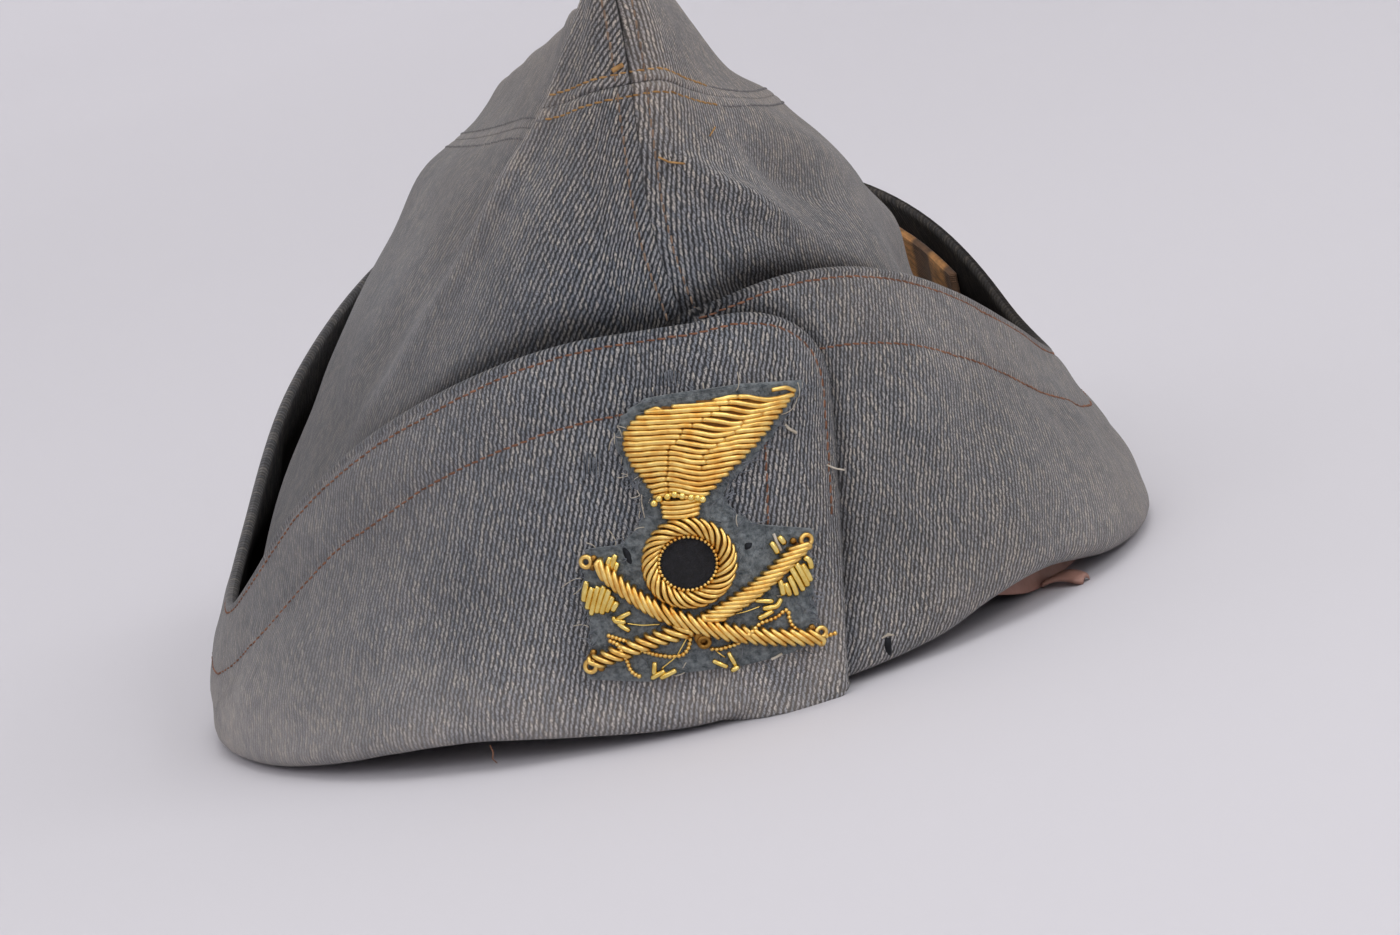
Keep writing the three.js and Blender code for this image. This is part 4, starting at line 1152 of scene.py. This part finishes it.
CHAINS = (
    (0.5, -14.4, 0.2, -16.1, -0.8, -17.4, -2.9, -17.7, -5.3, -17.4, -8.3, -16.7, -10.1, -15.9,
     -11.4, -14.9, -13.2, -14.5, -15.2, -14.0),
    (-14.9, -15.0, -12.9, -15.6, -11.6, -18.2, -10.9, -20.2, -10.1, -21.1, -9.0, -21.5),
    (4.3, -16.2, 5.7, -16.3, 7.1, -15.8, 8.6, -15.4, 9.8, -14.4, 10.6, -13.2, 11.6, -12.3, 12.8, -11.5,
     14.3, -11.1, 15.9, -10.5, 17.2, -9.2, 17.9, -9.5, 17.9, -10.9, 18.5, -12.3, 19.6, -13.4),
    (21.2, -14.4, 22.4, -15.4, 23.6, -15.0, 25.0, -14.7, 26.6, -14.3),
)
# Loops (right, up and radius), knobs and beads (right and up)
LOOPS = ((-19.7, -0.2, 1.0), (-18.8, -19.9, 1.1), (21.0, 3.4, 1.0), (23.9, -13.9, 0.9))
KNOBS = (
    (-18.2, 0.5), (-18.4, -1.2), (-18.3, -17.3), (-16.7, -20.2), (18.6, 3.4), (20.1, 1.0),
    (22.2, -12.9), (22.6, -15.0),
)
COLLAR_BEADS = (
    (-6.0, 11.2), (-5.0, 12.1), (-3.6, 12.5), (-2.4, 12.9), (-1.1, 12.6), (0.4, 12.3), (1.5, 12.2),
    (2.4, 11.9),
)


def add_backing():
    """Felt under the badge, with a ragged edge."""
    low, high = BACKING["up"][0], BACKING["up"][-1]
    up, share = grid(np.linspace(low, high, 190), np.linspace(0, 1, 100))
    left = linear(BACKING, "up", "left", up) + 0.3 * waves(up, 0, 2.6, 41) + 0.25 * waves(up, 0, 1.1, 44)
    right = linear(BACKING, "up", "right", up) + 0.3 * waves(up, 0, 2.3, 42) + 0.25 * waves(up, 0, 1.2, 45)
    across = mix(left, right, share)
    edge = np.minimum(np.minimum(across - left, right - across), np.minimum(up - low, high - up))
    rough = 0.14 * waves(across, up, 3.5, 43) + 0.12 * waves(across, up, 1.5, 46)
    top = BADGE_LIFT + BACKING_THICK * np.clip(rounded(edge, 0.7), 0.15, 1) + rough * ease(edge / 0.8)
    outer, inner = on_flap(across, up, top), on_flap(across, up, BADGE_LIFT)
    add_shell("felt_backing", "badge_backing", "grey_felt", outer, inner, flip=True)


def add_disc():
    """The black felt in the ring, a little rough."""
    turn, radius = grid(circle(48), np.linspace(0.01, 5.2, 17))
    r, up = radius * np.cos(turn), radius * np.sin(turn)
    off = WORK_LIFT + 0.5 + 0.12 * waves(r, up, 1.8, 52)
    outer, inner = on_flap(r, up, off), on_flap(r, up, off - 0.4)
    add_shell("felt_disc", "badge_disc", "black_felt", outer, inner, wrap=True)


def lay(strands, right, up, lift, radius, sides=7, closed=False):
    """A wire laid on the badge, lift millimetres above its felt."""
    strands.tube(on_flap(right, up, WORK_LIFT + lift), radius, sides, closed)


def lay_loop(strands, right, up, size, lift, radius, count, sides):
    turn = circle(count)
    lay(strands, right + size * np.cos(turn), up + size * np.sin(turn), lift, radius, sides, True)


def drawn(row, pitch, soft=0):
    """Even, smoothed points along a row of points right and up."""
    return smooth_line(even(np.reshape(row, (-1, 2)).astype(float), pitch), soft)


def strokes(strands, rows, radius, lift):
    """Wires along rows of points."""
    draw = np.random.default_rng(6)
    for row in rows:
        r, up = drawn(row, 0.4, 1).T
        bulge = 0.3 * np.sin(math.pi * np.linspace(0, 1, len(r)))
        lay(strands, r, up, lift + bulge, radius * draw.uniform(0.9, 1.05))


def beads(strands, spots, radius, lift, flat=1.0, turns=7, rows=5):
    for r, up in spots:
        strands.bead(on_flap(r, up, WORK_LIFT + lift), radius, flat, turns, rows)


def barrel_at(path, share):
    """Right and up at a share of the way along a barrel."""
    return curve(path, "along", "right", share), curve(path, "along", "up", share)


def flame_height(share, up):
    """How high the flame stands at a share of its width, from 0 to 1."""
    rise = math.sin(math.pi * (up - FLAME_FOOT) / FLAME_TALL)
    return np.sqrt(np.clip(np.sin(math.pi * share) * rise, 0, 1))


def flame(strands):
    draw = np.random.default_rng(3)
    for up in np.arange(*FLAME_WIRES):
        left = linear(FLAME, "up", "left", up) + draw.uniform(-0.2, 0.25)
        right = linear(FLAME, "up", "right", up) + draw.uniform(-0.25, 0.2)
        first = linear(FLAME_BREAK, "up", "first", up) + draw.uniform(-0.25, 0.25)
        second = linear(FLAME_BREAK, "up", "second", up) + draw.uniform(-0.5, 0.5)
        ends = [left] + [at for at in (first, second) if left + 1.5 < at < right - 1.5] + [right]
        for start, stop in zip(ends[:-1], ends[1:]):
            count = max(8, int((stop - start) / 0.45))
            r = np.linspace(start - 0.05, stop + 0.05, count)
            bend = 0.5 * ease((r - left) / max(1, first - left)) - ease((r - first) / 6)
            bend = bend + 0.7 * ease((r - first - 5) / 7) + 0.06 * waves(r, up, 3.0, int(up * 10))
            share = np.clip((r - left) / (right - left), 0.02, 0.98)
            sink = 0.2 * np.abs(np.linspace(-1, 1, count)) ** 14
            lift = 0.55 + 1.5 * flame_height(share, up) - sink
            lay(strands, r, up + bend, lift, FLAME_WIRE * draw.uniform(0.95, 1.03))
    strokes(strands, FLAME_TIPS, 0.45, 0.7)


def padding(strands):
    """The stuffing under the wires."""
    for up in np.arange(*FLAME_STUFFING):
        left = linear(FLAME, "up", "left", up) + 0.7
        right = linear(FLAME, "up", "right", up) - 0.7
        lift = 0.05 + 1.35 * flame_height(np.linspace(0.02, 0.98, 24), up)
        lay(strands, np.linspace(left, right, 24), up, lift, 0.5, 6)
    lay_loop(strands, 0, 0, 6.8, 0.5, 1.0, 60, 10)
    for path, low, high, lift in (
        (OVER, 0.01, 0.99, 0.75), (UNDER, 0.02, 0.43, 0.3), (UNDER, 0.57, 0.98, 0.3),
    ):
        lay(strands, *barrel_at(path, np.linspace(low, high, 40)), lift, 1.0, 10)
    for up in np.linspace(9.1, 11.4, 5):
        lay(strands, np.linspace(-4.3, 1.7, 12), up, 0.5, 0.5, 6)


def collar(strands):
    share = np.linspace(-1, 1, 16)
    for k, up in enumerate(np.linspace(COLLAR_LOW, COLLAR_HIGH, 4)):
        r = mix(COLLAR_LEFT - 0.15 * k, COLLAR_RIGHT + 0.12 * k, (share + 1) / 2)
        lay(strands, r, up + 0.35 * share + 0.35 * share ** 2, 1.2 - 0.55 * share ** 2, COLLAR_WIRE)


def ring(strands):
    """Wires that sweep round the ring like the strands of a rope."""
    draw = np.random.default_rng(4)
    share = np.linspace(0.02, 0.98, 17)
    radius = RING_RADIUS + RING_HALF * np.cos(math.pi * share)
    for turn in circle(RING_WIRES):
        spin = turn + draw.normal(0, 0.012) - math.radians(RING_SWEEP) * share
        lift = 0.3 + 1.75 * np.sin(math.pi * share)
        wire = RING_WIRE * draw.uniform(0.94, 1.05)
        lay(strands, radius * np.cos(spin), radius * np.sin(spin), lift, wire)


def ring_beads(strands):
    turns = circle(40)
    beads(strands, zip(5.0 * np.cos(turns), 5.0 * np.sin(turns)), 0.4, 1.0)


def barrel(strands, path, low, high, lift, cross, count, seed):
    """Wires wound slantwise over a barrel. cross is how far along they run for each millimetre across."""
    draw = np.random.default_rng(seed)
    line = np.stack(barrel_at(path, np.linspace(0, 1, 400)), 1)
    run = lengths(line, 0)
    way = unit(np.gradient(line, axis=0))
    start, stop = low * run[-1], high * run[-1]
    share = np.linspace(-1, 1, 13)
    for middle in np.linspace(start + 0.6, stop - 0.6, count):
        half = BARREL_HALF - 0.3 * abs(middle / run[-1] - 0.5)
        at = np.clip(middle - cross * half * share + draw.normal(0, 0.05), start, stop)
        dr, du = resample(way, at, run).T
        r, up = resample(line, at, run).T
        over = lift + 1.55 * np.sqrt(np.clip(1 - share ** 2, 0, 1))
        wire = BARREL_WIRE * draw.uniform(0.92, 1.06)
        lay(strands, r - du * half * share, up + dr * half * share, over, wire)


def chains(strands):
    """Rows of small beads, lifted where they pass over a barrel."""
    for row in CHAINS:
        for r, up in even(drawn(row, 0.3, 3), 0.8):
            over = 2.0 * hill((r - 10.9) / 1.6) * hill((up + 13) / 2)
            over = over + 1.2 * hill((r + 12.6) / 1.6) * hill((up + 16.6) / 1.5)
            beads(strands, [(r, up)], 0.5, 0.45 + over, 1.0, 8, 5)


def loops(strands):
    for r, up, size in LOOPS:
        lay_loop(strands, r, up, size, 0.6, 0.48, 18, 7)


def boss(strands):
    beads(strands, [(2.6, -13.9)], 1.6, 0.8, 0.35, 20, 7)
    lay_loop(strands, 2.9, -14.7, 0.9, 1.5, 0.45, 20, 8)
    beads(strands, KNOBS, 0.75, 0.5, 0.8)


def bullion(name, material, work, *sizes):
    strands = Strands()
    work(strands, *sizes)
    return strands.make("bullion_" + name, material, "gold_bullion")


add_backing()
for node, works in {
    "badge_flame": [("flame", GOLD, flame), ("padding", PADDING, padding)],
    "badge_collar": [
        ("collar", GOLD, collar), ("collar_beads", BRIGHT_GOLD, beads, COLLAR_BEADS, 0.72, 1.35, 0.9, 10, 7),
    ],
    "badge_ring": [("ring", GOLD, ring), ("ring_beads", GOLD, ring_beads)],
    "badge_barrel_over": [("barrel_over", GOLD, barrel, OVER, 0, 1, 0.75, 1.65, 27, 14)],
    "badge_barrel_under_low": [("barrel_under_low", GOLD, barrel, UNDER, 0.0, 0.44, 0.3, 1.25, 11, 15)],
    "badge_barrel_under_high": [("barrel_under_high", GOLD, barrel, UNDER, 0.51, 1.0, 0.3, 1.9, 15, 16)],
    "badge_fan_left": [("fan_left", BRIGHT_GOLD, strokes, FAN_LEFT, 0.62, 0.5)],
    "badge_fan_right": [("fan_right", BRIGHT_GOLD, strokes, FAN_RIGHT, 0.62, 0.5)],
    "badge_boss": [
        ("boss", OLD_GOLD, boss), ("chains", GOLD, chains), ("loops", GOLD, loops),
        ("arrows", BRIGHT_GOLD, strokes, ARROW_HEADS, 0.52, 0.5),
        ("stems", BRIGHT_GOLD, strokes, ARROW_STEMS, 0.15, 0.3),
    ],
}.items():
    made = [bullion(*work) for work in works]
    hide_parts(node)
add_disc()


# Small things: darns, lint, slits in the felt, loose fibres and threads, a frayed hole

LINT = (
    ((17.7, 24.8, 18.6, 23.9, 20.0, 23.1), 0.3), ((25.9, 16.8, 27.6, 16.0, 29.4, 15.6), 0.16),
    ((14.9, -18.5, 15.6, -18.2, 16.8, -17.5), 0.26), ((14.9, 5.0, 15.5, 3.4, 16.3, 1.8), 0.28),
    ((2.5, 33.2, 2.7, 32.0), 0.12), ((-6.6, 32.5, -6.5, 31.3), 0.12),
)
SLITS = ((-12.6, 3.0, -11.5, 1.2, -10.8, -0.7), (9.8, 2.2, 10.5, 2.9, 11.3, 3.5))
# Right, up, width and height of each darn
DARNS = ((-19.0, 17.8, 3.3, 4.2), (-3.2, 34.0, 3.2, 2.6))
HOLE = ((22.5, -104, 7.0), (22.1, -104, 5.4), (22.4, -104, 3.0))
RIM_THREAD = ((-54.4, -91.0, 5.2), (-54.2, -91.6, 3.8), (-54.6, -91.4, 2.6), (-54.0, -91.6, 1.6))


def on_cloth(piece, points, lift):
    """A line of points set onto a piece of cloth from the front, lift millimetres above it."""
    fine = smooth_line(even(np.asarray(points, float), 0.4))
    found, normals = outward_on(tree_of(piece), fine, np.tile((0, -1.0, 0), (len(fine), 1)))
    return found + normals * lift


def add_lint(pale):
    for row, radius in LINT:
        r, up = drawn(row, 0.4).T
        on_felt = -21 < r[0] < 17 and up[0] < 6
        lift = (0.3 if on_felt else 0.4 - WORK_LIFT) + 0.5 * hill((r - 15.6) / 1.5) * (up > 0)
        lay(pale, r, up, lift, radius, 6)


def add_fibres(pale, blue, draw):
    """Curled fibres on the felt and along its edges."""
    for _ in range(FIBRES):
        up = draw.uniform(-22, 32)
        low, high = linear(BACKING, "up", "left", up), linear(BACKING, "up", "right", up)
        r = draw.choice([low, high, draw.uniform(low, high)])
        turn, length = draw.uniform(0, 2 * math.pi), draw.uniform(0.9, 2.6)
        t = np.linspace(0, length, 6)
        curl = draw.normal(0, 0.25) * t ** 2
        right = r + t * math.cos(turn) - curl * math.sin(turn)
        up = up + t * math.sin(turn) + curl * math.cos(turn)
        lay(pale if draw.random() < 0.15 else blue, right, up, 0.15 + 0.1 * t, 0.09, 4)


def add_slits(dark):
    for row in SLITS:
        r, up = drawn(row, 0.3).T
        # Dark sunken strokes: painted shade inside the slits.
        lay(dark, r, up, -0.25, 0.75 * np.sin(np.linspace(0.25, 2.9, len(r))), 7)


def add_darns(blue, draw):
    for right, up, wide, high in DARNS:
        for r in np.arange(right - wide / 2, right + wide / 2, DARN_PITCH):
            t = np.linspace(-0.5, 0.5, 12) * high * draw.uniform(0.7, 1.15)
            lift = 0.12 + 0.1 * np.sin(t * 6 + 3 * r) - WORK_LIFT
            lay(blue, r + 0.05 * np.sin(t * 4), up + draw.normal(0, 0.3) + t, lift, 0.15, 5)


def add_hole(dark, pale):
    """A small hole in the left flap, its inside a dark tube of painted shade, with frayed ends over it."""
    hole = on_cloth(flap_left, HOLE, -0.3)
    dark.tube(hole, 0.85 * np.sin(np.linspace(0.9, 2.9, len(hole))), 9)
    for k in range(5):
        start = np.array([21.2 + 0.3 * k, -104, 7.4 + 0.15 * k])
        end = start + (1.2, 0, 0.2 - 0.25 * k)
        pale.tube(on_cloth(flap_left, [start, end], 0.15 + 0.06 * k), 0.17, 5)


def add_loose_threads(ochre):
    """Two thread ends and a knot on the crown."""
    angles = np.linspace(3.0, 8.7, 12)
    levels = np.interp(angles, (3.0, 5.1, 8.7), (0.745, 0.733, 0.724))
    ochre.tube(crown_point(1, angles, levels, 0.35), 0.2, 6)
    ochre.tube(crown_point(1, np.linspace(20.7, 24.6, 6), np.linspace(0.756, 0.768, 6), 0.25), 0.16, 6)
    ochre.tube(crown_point(-1, np.linspace(-3.4, -0.9, 7), np.linspace(0.893, 0.897, 7), 0.1), 0.5, 7)


pale, dark, blue, ochre, rust = (Strands() for _ in range(5))
fibre_draw = np.random.default_rng(17)
add_lint(pale)
add_fibres(pale, blue, fibre_draw)
add_slits(dark)
add_darns(blue, fibre_draw)
add_hole(dark, pale)
add_loose_threads(ochre)
rust.tube(RIM_THREAD, 0.13, 5)
pale.make("lint", PALE, "grey_twill")
dark.make("painted_slit_and_hole_shade", HOLE_SHADE, "black_felt")
blue.make("darns", BLUE, "grey_twill")
ochre.make("loose_threads", OCHRE, "grey_twill")
rust.make("rim_thread", RUST, "grey_twill")


# Stage, light and camera, in metres

def add_stage():
    """A pale floor that curves up into a wall all round."""
    flat, corner, sides = 2.6, 1.4, 128
    turn = np.linspace(0, math.pi / 2, 24)[1:]
    radius = np.concatenate([np.linspace(0.001, flat, 20), flat + corner * np.sin(turn), [4.0, 4.0]])
    height = np.concatenate([np.zeros(20), corner * (1 - np.cos(turn)), [2.5, 4.0]])
    points = [(r * math.cos(a), r * math.sin(a), h) for r, h in zip(radius, height) for a in circle(sides)]
    faces = []
    for j in range(len(radius) - 1):
        for i in range(sides):
            a, b = j * sides + i, j * sides + (i + 1) % sides
            faces.append((a, b, b + sides, a + sides))
    mesh = bpy.data.meshes.new("floor")
    mesh.from_pydata(points, [], faces)
    mesh.polygons.foreach_set("use_smooth", [True] * len(faces))
    look = Look("pale_floor", Roughness=0.85, Specular_IOR_Level=0.1)
    tone = look.noise(look.place(), 1.2, 2.0)
    look.set("Base Color", look.blend(tone, shade(214, 212, 217), shade(218, 216, 221)))
    mesh.materials.append(look.material)
    floor = bpy.data.objects.new("floor", mesh)
    bpy.context.scene.collection.objects.link(floor)


def add_light(name, place, aim, size, power, spread=180):
    lamp = bpy.data.lights.new(name, "AREA")
    lamp.shape = "DISK"
    lamp.size = size
    lamp.energy = power
    lamp.spread = math.radians(spread)
    made = bpy.data.objects.new(name, lamp)
    made.location = place
    made.rotation_euler = (Vector(aim) - Vector(place)).to_track_quat("-Z", "Y").to_euler()
    bpy.context.scene.collection.objects.link(made)


def add_world():
    world = bpy.data.worlds.new("studio")
    world.use_nodes = True
    background = world.node_tree.nodes["Background"].inputs
    background[0].default_value = (1.0, 0.99, 0.98, 1)
    background[1].default_value = 0.65
    bpy.context.scene.world = world
    bpy.context.scene.view_settings.view_transform = "Standard"


def add_camera():
    """The photograph's view: turned to the wearer's right, a little above, with the cap leaning over."""
    flat = math.cos(ELEVATION)
    back = np.array([math.sin(AZIMUTH) * flat, -math.cos(AZIMUTH) * flat, math.sin(ELEVATION)])
    eye = AIM + DISTANCE * back
    level = unit(np.cross((0, 0, 1.0), back))
    upright = np.cross(back, level)
    right = math.cos(ROLL) * level - math.sin(ROLL) * upright
    up = math.sin(ROLL) * level + math.cos(ROLL) * upright
    back = unit(eye - AIM - RIGHT_OF_AIM * right + BELOW_AIM * up)
    right = unit(np.cross(up, back))
    up = np.cross(back, right)
    data = bpy.data.cameras.new("camera")
    data.sensor_width = SENSOR
    data.lens = SENSOR * PIXELS_PER_MM * DISTANCE / FRAME_WIDE
    data.clip_start = 0.01
    camera = bpy.data.objects.new("camera", data)
    turn = Matrix((right, up, back)).transposed()
    camera.matrix_world = Matrix.Translation(Vector(eye * MM)) @ turn.to_4x4()
    bpy.context.scene.collection.objects.link(camera)
    bpy.context.scene.camera = camera


ON_CAP = (0, 0, 0.05)
add_stage()
add_light("left", (-2.6, -2.6, 2.95), ON_CAP, 2.4, 30)
add_light("right", (2.9, -2.4, 2.75), ON_CAP, 2.4, 58)
add_light("front", (0.6, -3.2, 1.5), ON_CAP, 2.0, 14)
add_light("top", (0.4, -0.7, 3.4), ON_CAP, 2.2, 26)
add_light("backdrop", (0, 2.4, 2.4), (0, 2.8, 0), 2.0, 4, 90)
add_world()
add_camera()
